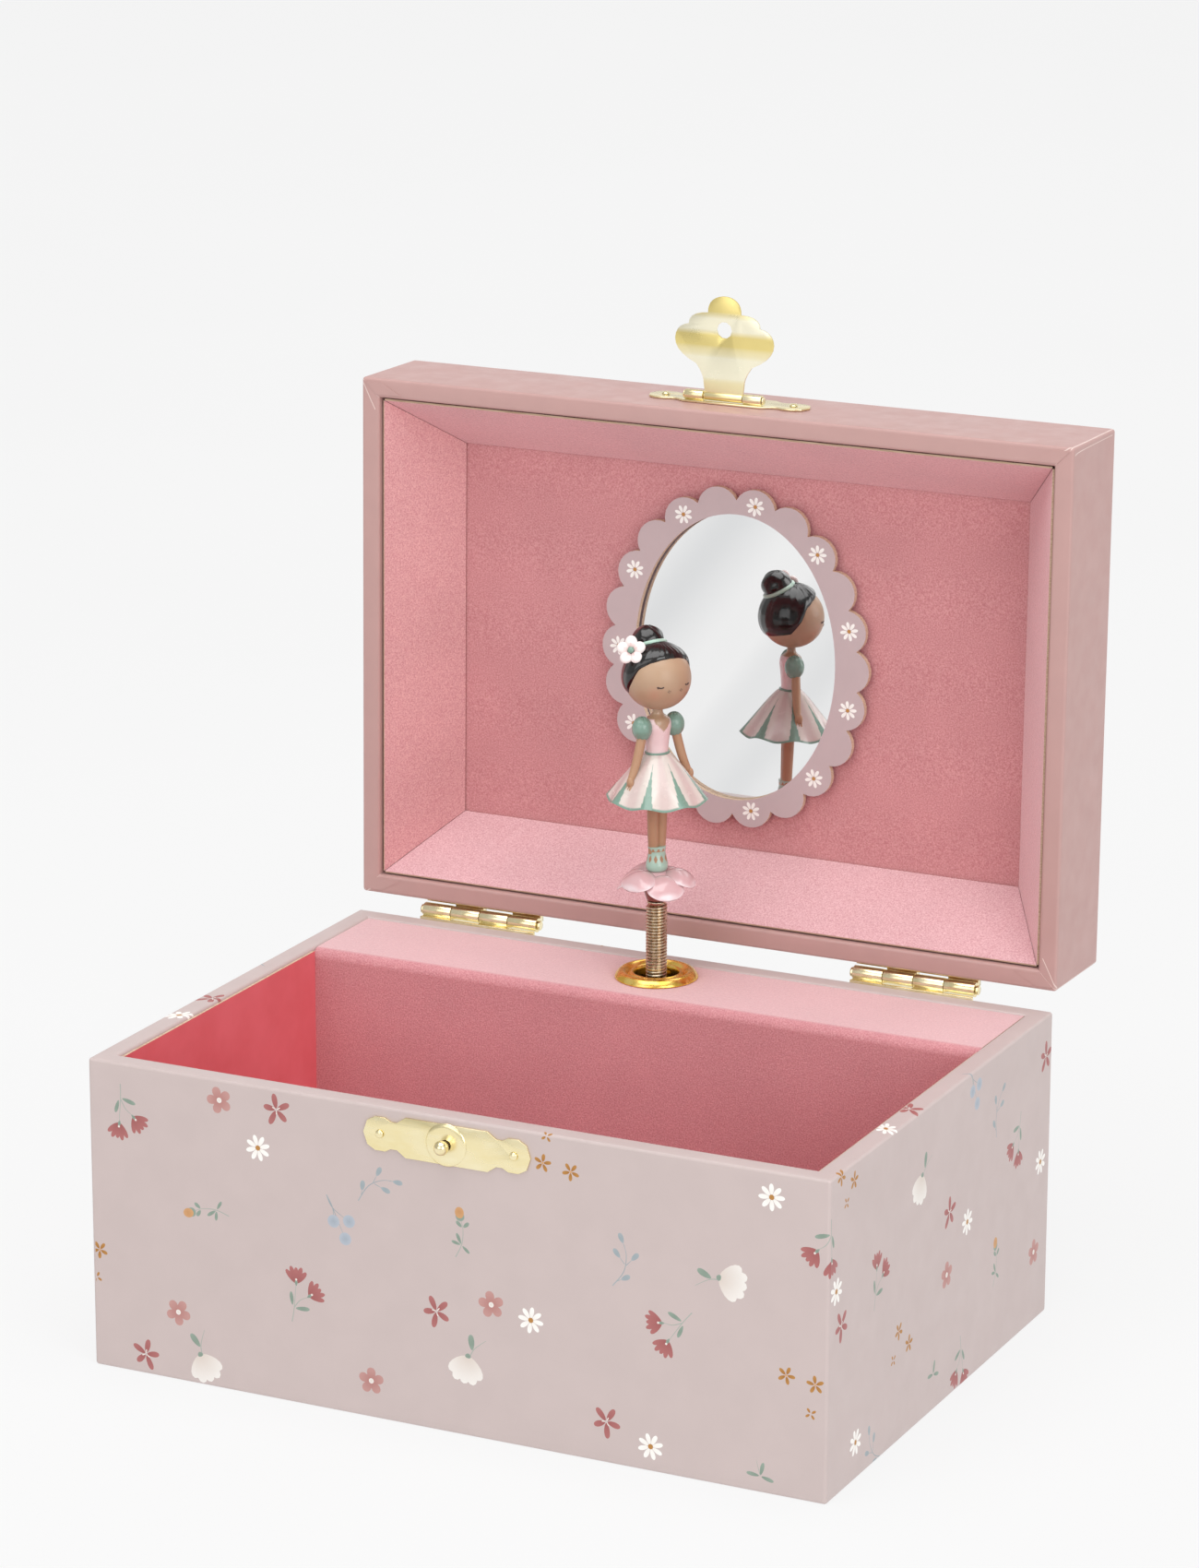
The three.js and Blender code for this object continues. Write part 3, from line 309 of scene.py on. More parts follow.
def build(name, points, faces, looks, body, slot, corner_paint=None, corner_normals=None,
          face_looks=None, place=None, sharp=38.0, replaces=()):
    """Makes a piece from points in millimetres, rides it on its body and hides the CAD parts it replaces."""
    mesh = bpy.data.meshes.new(name)
    spot = place or Matrix.Identity(4)
    mesh.from_pydata([(spot @ Vector(p)) * MM for p in points], [], faces)
    for look in looks:
        mesh.materials.append(look.material)
    if face_looks is not None:
        mesh.polygons.foreach_set("material_index", face_looks)
    if corner_paint is not None:
        layer = mesh.color_attributes.new("paint", "FLOAT_COLOR", "CORNER")
        layer.data.foreach_set("color", np.array(corner_paint, dtype=np.float32).ravel())
    if corner_normals is not None:
        turn = spot.to_3x3()
        kept = mesh.attributes.new("facing", "FLOAT_VECTOR", "CORNER")
        kept.data.foreach_set("vector", np.array([turn @ Vector(n) for n in corner_normals]).ravel())
    made = bmesh.new()
    made.from_mesh(mesh)
    bmesh.ops.remove_doubles(made, verts=made.verts, dist=1e-7)
    if corner_normals is None:
        bmesh.ops.recalc_face_normals(made, faces=made.faces)
    made.to_mesh(mesh)
    made.free()
    mesh.shade_smooth()
    if corner_normals is None:
        mesh.set_sharp_from_angle(angle=math.radians(sharp))
    else:
        facing = np.empty(3 * len(mesh.loops), dtype=np.float32)
        mesh.attributes["facing"].data.foreach_get("vector", facing)
        mesh.normals_split_custom_set(facing.reshape(-1, 3))
        mesh.attributes.remove(mesh.attributes["facing"])
    piece = bpy.data.objects.new(name, mesh)
    bpy.context.collection.objects.link(piece)
    if body:
        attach(piece, body)
    if replaces:
        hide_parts(*replaces)
    return piece


def skin(name, spot, columns, rows, look, body, slot, paint=None, loop=False, **options):
    """A closed grid skin. spot(a, b) is a point for a and b in 0..1; a runs round, and loop joins b's ends too.
    A row that shrinks to a point becomes a pole, and any other open end gets a flat cap."""
    lines = rows if loop else rows + 1
    points, index = [], []
    for j in range(lines):
        b = j / rows
        row = [Vector(spot(i / columns, b)) for i in range(columns)]
        if not loop and max((p - row[0]).length for p in row) < 1e-4:
            index.append([len(points)] * columns)
            points.append(row[0])
        else:
            index.append(list(range(len(points), len(points) + columns)))
            points.extend(row)
    faces, shades = [], []

    def add(corners, places):
        kept = [k for k, corner in enumerate(corners) if corner != corners[k - 1]]
        if len(kept) > 2:
            faces.append([corners[k] for k in kept])
            if paint:
                shades.extend(paint(*places[k]) for k in kept)

    for j in range(rows):
        upper = (j + 1) % lines
        for i in range(columns):
            right = (i + 1) % columns
            a0, a1, b0, b1 = i / columns, (i + 1) / columns, j / rows, (j + 1) / rows
            add([index[j][i], index[j][right], index[upper][right], index[upper][i]],
                [(a0, b0), (a1, b0), (a1, b1), (a0, b1)])
    if not loop:
        for j, b in ((0, 0.0), (rows, 1.0)):
            if index[j][0] != index[j][1]:
                add(index[j], [(i / columns, b) for i in range(columns)])
    return build(name, points, faces, [look], body, slot, corner_paint=shades or None, **options)


AXIS_TURNS = {"Z": Matrix.Identity(3), "Y": Matrix.Rotation(-math.pi / 2, 3, "X")}


def lathe(name, profile, look, body, slot, centre=(0, 0, 0), axis="Z", sides=48, closed=False, **options):
    """A turned body from [radius, height] points, about an axis through a centre."""
    middle = Vector(centre)
    rows = len(profile) if closed else len(profile) - 1

    def spot(a, b):
        radius, height = profile[round(b * rows) % len(profile)]
        angle = TAU * a
        return middle + AXIS_TURNS[axis] @ Vector((radius * math.cos(angle), radius * math.sin(angle), height))

    return skin(name, spot, sides, rows, look, body, slot, loop=closed, **options)


def smooth_profile(points, steps=4):
    """Catmull-Rom curve through [x, y] points."""
    curve = []
    last = len(points) - 1
    for i in range(last):
        p = [Vector(points[min(max(i + k, 0), last)]) for k in (-1, 0, 1, 2)]
        for step in range(steps):
            t = step / steps
            curve.append(0.5 * (
                2 * p[1] + (p[2] - p[0]) * t
                + (2 * p[0] - 5 * p[1] + 4 * p[2] - p[3]) * t * t
                + (3 * p[1] - p[0] - 3 * p[2] + p[3]) * t ** 3
            ))
    curve.append(Vector(points[last]))
    return curve


def tube(name, path, radius, look, body, slot, sides=16, closed=False, **options):
    """A tube along 3-D points; radius(t) in millimetres for t in 0..1."""
    path = [Vector(p) for p in path]
    count = len(path)
    tangents = []
    for i in range(count):
        if closed:
            tangents.append((path[(i + 1) % count] - path[i - 1]).normalized())
        else:
            tangents.append((path[min(i + 1, count - 1)] - path[max(i - 1, 0)]).normalized())
    across = tangents[0].orthogonal().normalized()
    frames = []
    for tangent in tangents:
        across = (across - tangent * across.dot(tangent)).normalized()
        frames.append((across.copy(), tangent.cross(across)))
    rows = count if closed else count - 1

    def spot(a, b):
        i = round(b * rows) % count
        first, second = frames[i]
        return path[i] + (first * math.cos(TAU * a) + second * math.sin(TAU * a)) * radius(b)

    return skin(name, spot, sides, rows, look, body, slot, loop=closed, **options)


def egg(name, centre, radii, look, body, slot, columns, rows, shape=None, **options):
    """A ball of three half widths, reshaped by shape(direction) where given."""
    middle, size = Vector(centre), Vector(radii)

    def spot(a, b):
        angle, rise = TAU * a, math.pi * (b - 0.5)
        way = Vector((math.cos(angle) * math.cos(rise), math.sin(angle) * math.cos(rise), math.sin(rise)))
        reach = shape(way) if shape else 1.0
        return middle + Vector((way.x * size.x, way.y * size.y, way.z * size.z)) * reach

    return skin(name, spot, columns, rows, look, body, slot, **options)


def counter_clockwise(loop):
    area = sum(a[0] * b[1] - b[0] * a[1] for a, b in zip(loop, loop[1:] + loop[:1]))
    return loop if area > 0 else loop[::-1]


def triangles(outline, holes=(), regions=(), guides=()):
    """Splits a flat outline along its holes, regions and guide lines.
    Returns the points, and each triangle with the number of the region on top of it, or None."""
    points, loops = [], []
    for loop in (outline, *holes, *(region["outline"] for region in regions)):
        loop = counter_clockwise([tuple(p) for p in loop])
        loops.append(list(range(len(points), len(points) + len(loop))))
        points.extend(Vector(p) for p in loop)
    edges = []
    for line in guides:
        edges.append((len(points), len(points) + 1))
        points.extend(Vector(p) for p in line)
    found, _, faces, _, _, origins = delaunay_2d_cdt(points, edges, loops, 1, 1e-5, True)
    first_region = 1 + len(holes)
    kept = []
    for face, origin in zip(faces, origins):
        if 0 not in origin or any(0 < i < first_region for i in origin):
            continue
        top = max(origin)
        kept.append((face, top - first_region if top >= first_region else None))
    return found, kept


def region_colour(region, point, plain):
    if region is None:
        return plain
    reach = (Vector(point) - region["centre"]).length / region["reach"]
    return mixed(region["inner"], region["outer"], min(reach, 1.0))


def unit_normal(bend, u, v):
    step = 0.02
    along = bend(u + step, v) - bend(u - step, v)
    up = bend(u, v + step) - bend(u, v - step)
    return along.cross(up).normalized()


def sheet(name, outline, bend, thickness, looks, body, slot, plain=CARD_COLOUR, holes=(), regions=(),
          guides=(), **options):
    """A bent sheet of card: bend(u, v) is its face, and its back lies `thickness` behind.
    looks are the face's and the cut edge's."""
    flat, kept = triangles(outline, holes, regions, guides)
    normals = [unit_normal(bend, p.x, p.y) for p in flat]
    front = [bend(p.x, p.y) for p in flat]
    points = front + [p - n * thickness for p, n in zip(front, normals)]
    count = len(flat)
    faces, shades, facing, face_looks = [], [], [], []
    sides = {}
    for face, top in kept:
        region = regions[top] if top is not None else None
        middle = sum((flat[i] for i in face), Vector((0, 0))) / len(face)
        for back in (False, True):
            corners = [i + count for i in reversed(face)] if back else list(face)
            faces.append(corners)
            face_looks.append(0)
            for i in corners:
                spot = flat[i % count] * 0.98 + middle * 0.02
                shades.append(plain if back else region_colour(region, spot, plain))
                facing.append(-normals[i % count] if back else normals[i % count])
        for a, b in zip(face, face[1:] + face[:1]):
            if (b, a) in sides:
                del sides[b, a]
            else:
                sides[a, b] = True
    for a, b in sides:
        corners = [b, a, a + count, b + count]
        faces.append(corners)
        face_looks.append(1)
        way = (points[a] - points[b]).cross(points[a + count] - points[b]).normalized()
        shades.extend([plain] * 4)
        facing.extend([way] * 4)
    return build(name, points, faces, looks, body, slot, corner_paint=shades, corner_normals=facing,
                 face_looks=face_looks, **options)


def circle(x, y, radius, steps):
    turns = [TAU * i / steps for i in range(steps)]
    return [(x + radius * math.cos(turn), y + radius * math.sin(turn)) for turn in turns]


# ---------- printed motifs, as coloured outlines around (0, 0) with "up" along +Y ----------

PRINT = {
    "rose": (colour("#9d5a59"), colour("#b06e6c")),
    "pink": (colour("#b27b76"), colour("#c2948e")),
    "white": (colour("#f0ebe4"), colour("#fbf8f4")),
    "cream": (colour("#d9cbc1"), colour("#f0ebe6")),
    "ochre": (colour("#a06a2c"), colour("#bb8747")),
    "bud": (colour("#c58f5e"), colour("#cf9f70")),
    "green": (colour("#7e9082"), colour("#94a396")),
    "blue": (colour("#a2abb6"), colour("#b3bac4")),
    "slate": (colour("#929da3"), colour("#a5aeb2")),
    "stem": (colour("#a5aba2"), colour("#a9aea6")),
}


def patch(points, ink_name, centre=None, reach=None):
    middle = Vector(centre) if centre else sum((Vector(p) for p in points), Vector((0, 0))) / len(points)
    inner, outer = PRINT[ink_name]
    far = max((Vector(p) - middle).length for p in points)
    return {"outline": points, "inner": inner, "outer": outer, "centre": middle, "reach": reach or far}


def petal(length, width, angle, origin=(0.0, 0.0), start=0.3):
    """A petal outline from near its origin outwards, widest towards its tip."""
    steps = 14
    way = Vector((math.cos(angle), math.sin(angle)))
    side = Vector((-way.y, way.x))
    points = []
    for i in range(steps):
        turn = TAU * i / steps
        out = start + (length - start) * (1 - math.cos(turn)) / 2
        half = width / 2 * math.sin(turn) * (0.62 + 0.38 * out / length)
        points.append(Vector(origin) + way * out + side * half)
    return points


def stroke(points, width, taper=0.35):
    """A thin brush line through points, narrowing to its end."""
    curve = smooth_profile(points, 5)
    left, right = [], []
    for i, p in enumerate(curve):
        way = (curve[min(i + 1, len(curve) - 1)] - curve[max(i - 1, 0)]).normalized()
        half = width / 2 * (1 - (1 - taper) * i / len(curve))
        side = Vector((-way.y, way.x)) * half
        left.append(p + side)
        right.append(p - side)
    return left + right[::-1]


def spokes(count, turn=0.5 * math.pi):
    return [turn + TAU * i / count for i in range(count)]


def star_flower():
    uneven = (1.0, 0.86, 1.05, 0.92, 0.98)
    made = [patch(petal(3.9 * k, 1.75, a), "rose", (0, 0)) for k, a in zip(uneven, spokes(5))]
    return made + [patch(petal(1.2, 0.35, a, start=0.2), "cream") for a in spokes(3, 0.4)]


def pink_flower():
    made = [patch(petal(3.3, 2.7, a), "pink", (0, 0)) for a in spokes(5)]
    return made + [patch(circle(0, 0, 0.65, 12), "cream")]


def daisy(length=3.2):
    made = [patch(petal(length, length * 0.42, a, start=0.5), "white", (0, 0)) for a in spokes(8, 0.3)]
    return made + [patch(circle(0, 0, length * 0.2, 12), "ochre")]


def small_flower():
    made = [patch(petal(2.2, 1.05, a), "ochre", (0, 0)) for a in spokes(5, 0.9)]
    return made + [patch(circle(0, 0, 0.3, 8), "bud")]


def tiny_flower():
    return [patch(petal(1.5, 0.7, a), "ochre", (0, 0)) for a in spokes(4, 0.6)]


def tulip_head(origin, lean):
    """Five narrow petals fanned up from a green cup."""
    fan = ((0.7, 4.2), (-0.7, 4.2), (0.33, 4.5), (-0.33, 4.5), (0.0, 4.1))
    made = [patch(petal(length, 1.5, lean + turn, origin), "rose", origin) for turn, length in fan]
    cup = patch(petal(0.9, 1.0, lean, origin, start=-0.5), "green")
    eye = Vector(origin) + Vector((math.cos(lean), math.sin(lean))) * 1.1
    return made + [cup, patch(circle(eye.x, eye.y, 0.28, 8), "cream")]


def tulip():
    up = math.pi / 2
    made = [
        patch(stroke([(-0.6, -7), (0, -3.4), (0.5, 2.2)], 0.3), "stem"),
        patch(stroke([(0, -3.4), (1.6, -1.4), (3.6, -0.4)], 0.28), "stem"),
        patch(petal(3.6, 1.15, up + 0.12, (-0.4, -3.2)), "green"),
        patch(petal(4.0, 1.3, 0.08, (0.1, -3.6)), "green"),
    ]
    return made + tulip_head((0.6, 2.4), up) + tulip_head((3.8, -0.2), up - 0.95)


def bud_sprig():
    leaves = (
        (2.6, 0.95, 2.9, (0.5, -2.9)), (2.7, 0.9, -0.7, (0.5, -2.9)), (3.0, 1.0, 2.0, (0.5, -2.9)),
        (2.2, 1.1, 0.75, (0.8, 1.2)), (2.2, 1.1, 2.4, (0.8, 1.2)),
    )
    return [
        patch(stroke([(-1.0, -6), (0.6, -2.6), (0.9, 1.0), (0.2, 3.6)], 0.26), "stem"),
        *(patch(petal(*leaf), "green") for leaf in leaves),
        patch(circle(0.15, 3.9, 1.15, 16), "green"),
        patch([(x * 0.92, y * 1.1 + 4.8) for x, y in circle(0, 0, 1.25, 18)], "bud"),
    ]


def berries():
    heads = ((-1.4, -0.6), (2.6, 0.0), (1.6, -4.4))
    made = [patch(stroke([(-3.2, 5.6), (-1.6, 2.6), head], 0.26), "slate") for head in heads]
    return made + [patch(circle(x, y, 1.55, 20), "blue") for x, y in heads]


def leaf_sprig():
    made = [patch(stroke([(-6.2, -2.6), (-2.4, 0.2), (1.6, 0.8), (4.4, 0)], 0.26), "slate")]
    leaves = (
        ((-5.0, -1.7), 1.1, 3.6), ((-1.0, 0.6), 0.75, 4.4), ((-0.6, 0.4), -0.7, 4.0), ((3.4, 0.4), -0.4, 3.2),
    )
    for origin, lean, tip in leaves:
        way = Vector((math.cos(lean), math.sin(lean)))
        end = Vector(origin) + way * (tip - 2.2)
        made.append(patch(stroke([origin, tuple(end)], 0.22), "slate"))
        made.append(patch(petal(2.5, 1.5, lean, end, start=0.0), "slate"))
    return made


def bell_flower():
    made = [
        patch(stroke([(0.4, 0.2), (1.4, 2.6), (4.2, 5.4)], 0.28), "stem"),
        patch(petal(3.8, 1.9, 1.75, (0.9, 2.2), start=0.0), "green"),
    ]
    fan = ((-2.35, 6.4, 3.4), (-0.95, 6.4, 3.4), (-2.0, 7.1, 3.6), (-1.3, 7.1, 3.6), (-1.65, 7.0, 3.6))
    for lean, length, width in fan:
        made.append(patch(petal(length, width, lean, (0, 0.6)), "cream", (0, 0.6), 7.0))
    return made + [patch(petal(1.0, 1.9, -1.6, (0, 1.0), start=-0.2), "green")]


def leaf_trio():
    leans = (1.35, 3.05, -0.25)
    made = [patch(petal(3.4, 1.15, lean), "green", (0, 0)) for lean in leans]
    return made + [patch(stroke([(0, 0), (-1.0, 3.6)], 0.2), "stem")]


MOTIFS = {
    "star": star_flower,
    "pink": pink_flower,
    "daisy": daisy,
    "small": small_flower,
    "tiny": tiny_flower,
    "tulip": tulip,
    "bud": bud_sprig,
    "berries": berries,
    "sprig": leaf_sprig,
    "bell": bell_flower,
    "leaves": leaf_trio,
}


def printed(kind, x, y, degrees, flip=1):
    """A motif's patches turned and moved onto the sheet; flip -1 mirrors it first."""
    turn = Matrix.Rotation(math.radians(degrees), 2)

    def move(p):
        return turn @ Vector((p[0] * flip, p[1])) + Vector((x, y))

    return [
        {**item, "outline": [move(p) for p in item["outline"]], "centre": move(item["centre"])}
        for item in MOTIFS[kind]()
    ]


# Motif, distance right of the side's middle, height, turn in degrees, mirrored or not.
FRONT_PRINT = [
    ("tulip", -86, 64, 170, -1), ("pink", -59, 71, 20, 1), ("star", -44, 71, 10, 1), ("daisy", -49, 61, 0, 1),
    ("bud", -63, 43, 100, 1), ("small", -92, 29, 0, 1), ("tiny", -93, 22, 30, 1), ("berries", -28, 47, 0, 1),
    ("sprig", -18, 57, 20, 1), ("tulip", -40, 27, 0, 1), ("pink", -71, 17, 40, 1), ("star", -80, 5, 60, 1),
    ("bell", -65, 7, 30, 1), ("pink", -20, 9, 0, 1), ("bud", 3, 49, 0, 1), ("star", -3, 29, 25, 1),
    ("pink", 11, 33, 10, 1), ("daisy", 21, 31, 20, 1), ("bell", 5, 19, -5, 1), ("small", 24, 69, 30, 1),
    ("small", 31, 68, 0, 1), ("tiny", 25, 75.5, 0, 1), ("sprig", 44, 49, 270, -1), ("bell", 68, 49, 75, -1),
    ("tulip", 57, 34, 150, 1), ("star", 40, 10, 40, 1), ("daisy", 51, 6, 0, 1), ("small", 84, 29, 15, 1),
    ("small", 91, 28, 45, 1), ("tiny", 90, 21, 0, 1), ("leaves", 78, 4, 0, 1), ("daisy", 80, 70, 30, 1),
    ("tulip", 95, 60, 190, 1),
]
SIDE_PRINT = [
    ("small", -60, 75, 0, 1), ("small", -53, 72, 30, 1), ("tiny", -57, 68, 0, 1), ("bell", -14, 60, -20, 1),
    ("daisy", -30, 78.5, 0, 1), ("star", -15, 79, 0, 1), ("star", 3, 46, 0, 1), ("daisy", 14, 40, 20, 1),
    ("daisy", -62, 49, 10, 1), ("star", -59, 40, 30, 1), ("tulip", -40, 44, 0, 1), ("berries", 17, 72, 0, 1),
    ("sprig", 32, 62, 60, 1), ("tulip", 46, 50, 180, 1), ("pink", 2, 31, 0, 1), ("bud", 32, 24, 0, 1),
    ("pink", 57, 18, 0, 1), ("small", -26, 27, 0, 1), ("small", -20, 22, 30, 1), ("tiny", -29, 21, 0, 1),
    ("daisy", -50, 9, 0, 1), ("sprig", -40, 4, 120, 1), ("tulip", 13, 6, 200, 1), ("star", 62, 66, 0, 1),
    ("daisy", 60, 40, 0, 1), ("leaves", -5, 9, 0, 1),
]


# ---------- wrapped trays ----------

CORNER = 0.8
CORNER_STEPS = 5
INNER_CORNER = 0.15


def arc(centre, radius, start, end, steps=4):
    """Points on an arc in (inset, height), angles in degrees."""
    turns = [math.radians(start + (end - start) * i / steps) for i in range(steps + 1)]
    return [(centre[0] + radius * math.cos(t), centre[1] + radius * math.sin(t)) for t in turns]


class Tray:
    """A paper-wrapped tray: a profile of (inset, height) points carried round a rounded rectangle.
    On the unrolled paper s runs round the box from the front's left end, and v follows the profile,
    with v equal to the height on the outer face."""

    def __init__(self, profile, outer_index):
        self.profile = profile
        self.reach = [0.0]
        for a, b in zip(profile, profile[1:]):
            self.reach.append(self.reach[-1] + math.dist(a, b))
        shift = profile[outer_index][1] - self.reach[outer_index]
        self.reach = [r + shift for r in self.reach]
        self.straight = [2 * (HALF_X - CORNER), 2 * (HALF_Y - CORNER)] * 2
        self.bend_length = CORNER * math.pi / 2
        self.starts = [0.0]
        for length in self.straight:
            self.starts.append(self.starts[-1] + length + self.bend_length)
        self.total = self.starts[-1]

    def middle(self, side):
        return self.starts[side] + self.straight[side] / 2

    def inset(self, v):
        i = 0
        while i < len(self.reach) - 2 and v > self.reach[i + 1]:
            i += 1
        share = (v - self.reach[i]) / (self.reach[i + 1] - self.reach[i])
        share = min(max(share, 0.0), 1.0)
        (t0, z0), (t1, z1) = self.profile[i], self.profile[i + 1]
        return t0 + (t1 - t0) * share, z0 + (z1 - z0) * share

    def spot(self, s, v):
        s %= self.total
        side = max(k for k in range(4) if self.starts[k] <= s + 1e-9)
        past = s - self.starts[side]
        inset, height = self.inset(v)
        radius = max(CORNER - inset, INNER_CORNER)
        shrink = max(0.0, inset - (CORNER - INNER_CORNER))
        turn = Matrix.Rotation(side * math.pi / 2, 2)
        along, away = (HALF_X, HALF_Y) if side % 2 == 0 else (HALF_Y, HALF_X)
        half = along - CORNER - shrink
        deep = away - CORNER - shrink
        if past <= self.straight[side]:
            flat = Vector(((past / self.straight[side] * 2 - 1) * half, -deep - radius))
        else:
            angle = -math.pi / 2 + (past - self.straight[side]) / CORNER
            flat = Vector((half + radius * math.cos(angle), -deep + radius * math.sin(angle)))
        flat = turn @ flat
        return Vector((flat.x, flat.y, height))

    def guides(self):
        low, high = self.reach[0], self.reach[-1]
        lines = [((0, v), (self.total, v)) for v in self.reach[1:-1]]
        for side in range(4):
            first = self.starts[side] + self.straight[side]
            for step in range(CORNER_STEPS + 1):
                s = first + self.bend_length * step / CORNER_STEPS
                if s < self.total - 1e-6:
                    lines.append(((s, low), (s, high)))
        return lines


def wrapped_tray(name, tray, look, plain, body, slot, regions=(), holes=(), place=None, replaces=()):
    """Builds the tray's solid: its wrapped band, the flat ends inside and outside, and bores through a wall.
    A hole is (outer circle, inner circle) on the unrolled paper."""
    low, high = tray.reach[0], tray.reach[-1]
    outline = [(0, low), (tray.total, low), (tray.total, high), (0, high)]
    rings = [ring for pair in holes for ring in pair]
    flat, kept = triangles(outline, rings, regions, tray.guides())
    points = [tray.spot(p.x, p.y) for p in flat]
    faces, shades, facing = [], [], []
    for face, top in kept:
        region = regions[top] if top is not None else None
        middle = sum((flat[i] for i in face), Vector((0, 0))) / 3
        way = (points[face[1]] - points[face[0]]).cross(points[face[2]] - points[face[0]])
        if way.length < 1e-9:
            continue
        faces.append(list(face))
        for i in face:
            p = flat[i] * 0.999 + middle * 0.001
            shades.append(region_colour(region, p, plain))
            facing.append(unit_normal(tray.spot, p.x, min(max(p.y, low + 0.03), high - 0.03)))
    for level, up in ((low, -1), (high, 1)):
        row = sorted((i for i, p in enumerate(flat) if abs(p.y - level) < 1e-4), key=lambda i: flat[i].x)
        row = [i for i in row if flat[i].x < tray.total - 1e-4]
        corners = row if up > 0 else row[::-1]
        faces.append(corners)
        shades.extend([plain] * len(corners))
        facing.extend([cap_normal(points, corners)] * len(corners))
    for outer, inner in holes:
        count = len(outer)
        start = len(points)
        points.extend(tray.spot(*p) for p in outer)
        points.extend(tray.spot(*p) for p in inner)
        middle = sum(points[start:], Vector()) / (2 * count)
        for i in range(count):
            j = (i + 1) % count
            corners = [start + i, start + j, start + count + j, start + count + i]
            inwards = [middle - points[c] for c in corners]
            faces.append(corners)
            shades.extend([CARD_COLOUR] * 4)
            facing.extend(Vector((way.x, 0, way.z)).normalized() for way in inwards)
    return build(name, points, faces, [look], body, slot, corner_paint=shades, corner_normals=facing,
                 place=place, replaces=replaces)


def cap_normal(points, corners):
    """The normal of a flat loop, by Newell's method."""
    way = Vector()
    for a, b in zip(corners, corners[1:] + corners[:1]):
        p, q = points[a], points[b]
        way += Vector(((p.y - q.y) * (p.z + q.z), (p.z - q.z) * (p.x + q.x), (p.x - q.x) * (p.y + q.y)))
    return way.normalized()


ROUND = 0.7
HOLE_RADIUS = 3.0
HOLE_CLEARANCE = 12

base_profile = (
    arc((ROUND, ROUND), ROUND, 270, 180)
    + arc((ROUND, BASE_TOP - ROUND), ROUND, 180, 90)
    + arc((BASE_BOARD - ROUND, BASE_TOP - ROUND), ROUND, 90, 0)
    + [(BASE_BOARD, FLOOR_TOP)]
)
base_tray = Tray(base_profile, 4)


def side_regions(tray, side, layout):
    found = []
    for kind, x, v, turn, flip in layout:
        found.extend(printed(kind, tray.middle(side) + x, v, turn, flip))
    return found


def clear_of_hole(item):
    """Whether a motif on the back, where distances run the other way, keeps off the key's hole."""
    return abs(item[1] + KEY_HOLE[0]) > HOLE_CLEARANCE or abs(item[2] - KEY_HOLE[1]) > HOLE_CLEARANCE


base_regions = side_regions(base_tray, 0, FRONT_PRINT) + side_regions(base_tray, 1, SIDE_PRINT)
back_print = [(k, x, v, turn + 35, flip) for k, x, v, turn, flip in FRONT_PRINT if abs(x) < 88]
base_regions += side_regions(base_tray, 2, [item for item in back_print if clear_of_hole(item)])
left_print = [(k, -x, v, turn, -flip) for k, x, v, turn, flip in SIDE_PRINT if abs(x) < 60]
base_regions += side_regions(base_tray, 3, left_print)

hole_s = base_tray.middle(2) - KEY_HOLE[0]
inner_v = base_tray.reach[-1] - (KEY_HOLE[1] - FLOOR_TOP)
outer_ring = circle(hole_s, KEY_HOLE[1], HOLE_RADIUS, 28)
inner_ring = [(x, inner_v - (y - KEY_HOLE[1])) for x, y in outer_ring]
wrapped_tray(
    "base_shell", base_tray, base_paper, PAPER_COLOUR, "base", "base_paper",
    regions=base_regions, holes=[(outer_ring, inner_ring)],
    replaces=tuple(f"base_{board}_board" for board in ("bottom", "front", "back", "left", "right")),
)


# ---------- flat cards and their helpers ----------

def rectangle(u0, u1, v0, v1):
    return [(u0, v0), (u1, v0), (u1, v1), (u0, v1)]


def plane(origin, along, up):
    """A bend for a flat card."""
    start, across, rise = Vector(origin), Vector(along), Vector(up)
    return lambda u, v: start + across * u + rise * v


def card(name, origin, along, up, width, height, thickness, face, body, slot, **options):
    """A rectangular card with its face towards along x up."""
    return sheet(name, rectangle(0, width, 0, height), plane(origin, along, up), thickness, [face, edge_card],
                 body, slot, **options)


# ---------- inside the base ----------

INNER_X = HALF_X - BASE_BOARD
INNER_Y = HALF_Y - BASE_BOARD
WALL_LINER = 0.6
LINING_LOW = FLOOR_TOP + WALL_LINER
LINING_HIGH = 75.2
wall_height = LINING_HIGH - LINING_LOW
wall_x = INNER_X - WALL_LINER
wall_y = INNER_Y - WALL_LINER
side_depth = COVER_FRONT + wall_y

card("floor_velvet", (-INNER_X, -INNER_Y, LINING_LOW), (1, 0, 0), (0, 1, 0), 2 * INNER_X, INNER_Y + COVER_FRONT,
     WALL_LINER, flock, "base", "flock", replaces=("floor_lining",))
for side, start, along, width in (
    ("left", (-wall_x, -wall_y, LINING_LOW), (0, 1, 0), side_depth),
    ("right", (wall_x, COVER_FRONT, LINING_LOW), (0, -1, 0), side_depth),
    ("front", (wall_x, -wall_y, LINING_LOW), (-1, 0, 0), 2 * wall_x),
):
    card(f"{side}_wall_paper", start, along, (0, 0, 1), width, wall_height, WALL_LINER, coral_card,
         "base", "coral_card", replaces=(f"{side}_lining",))

# The partition and deck are one flocked card folded over a round front edge.
bend_low = DECK_Z - COVER_BEND - FLOOR_TOP
bend_length = COVER_BEND * math.pi / 2
deck_back = INNER_Y - SEAM
cover_length = bend_low + bend_length + deck_back - COVER_FRONT - COVER_BEND


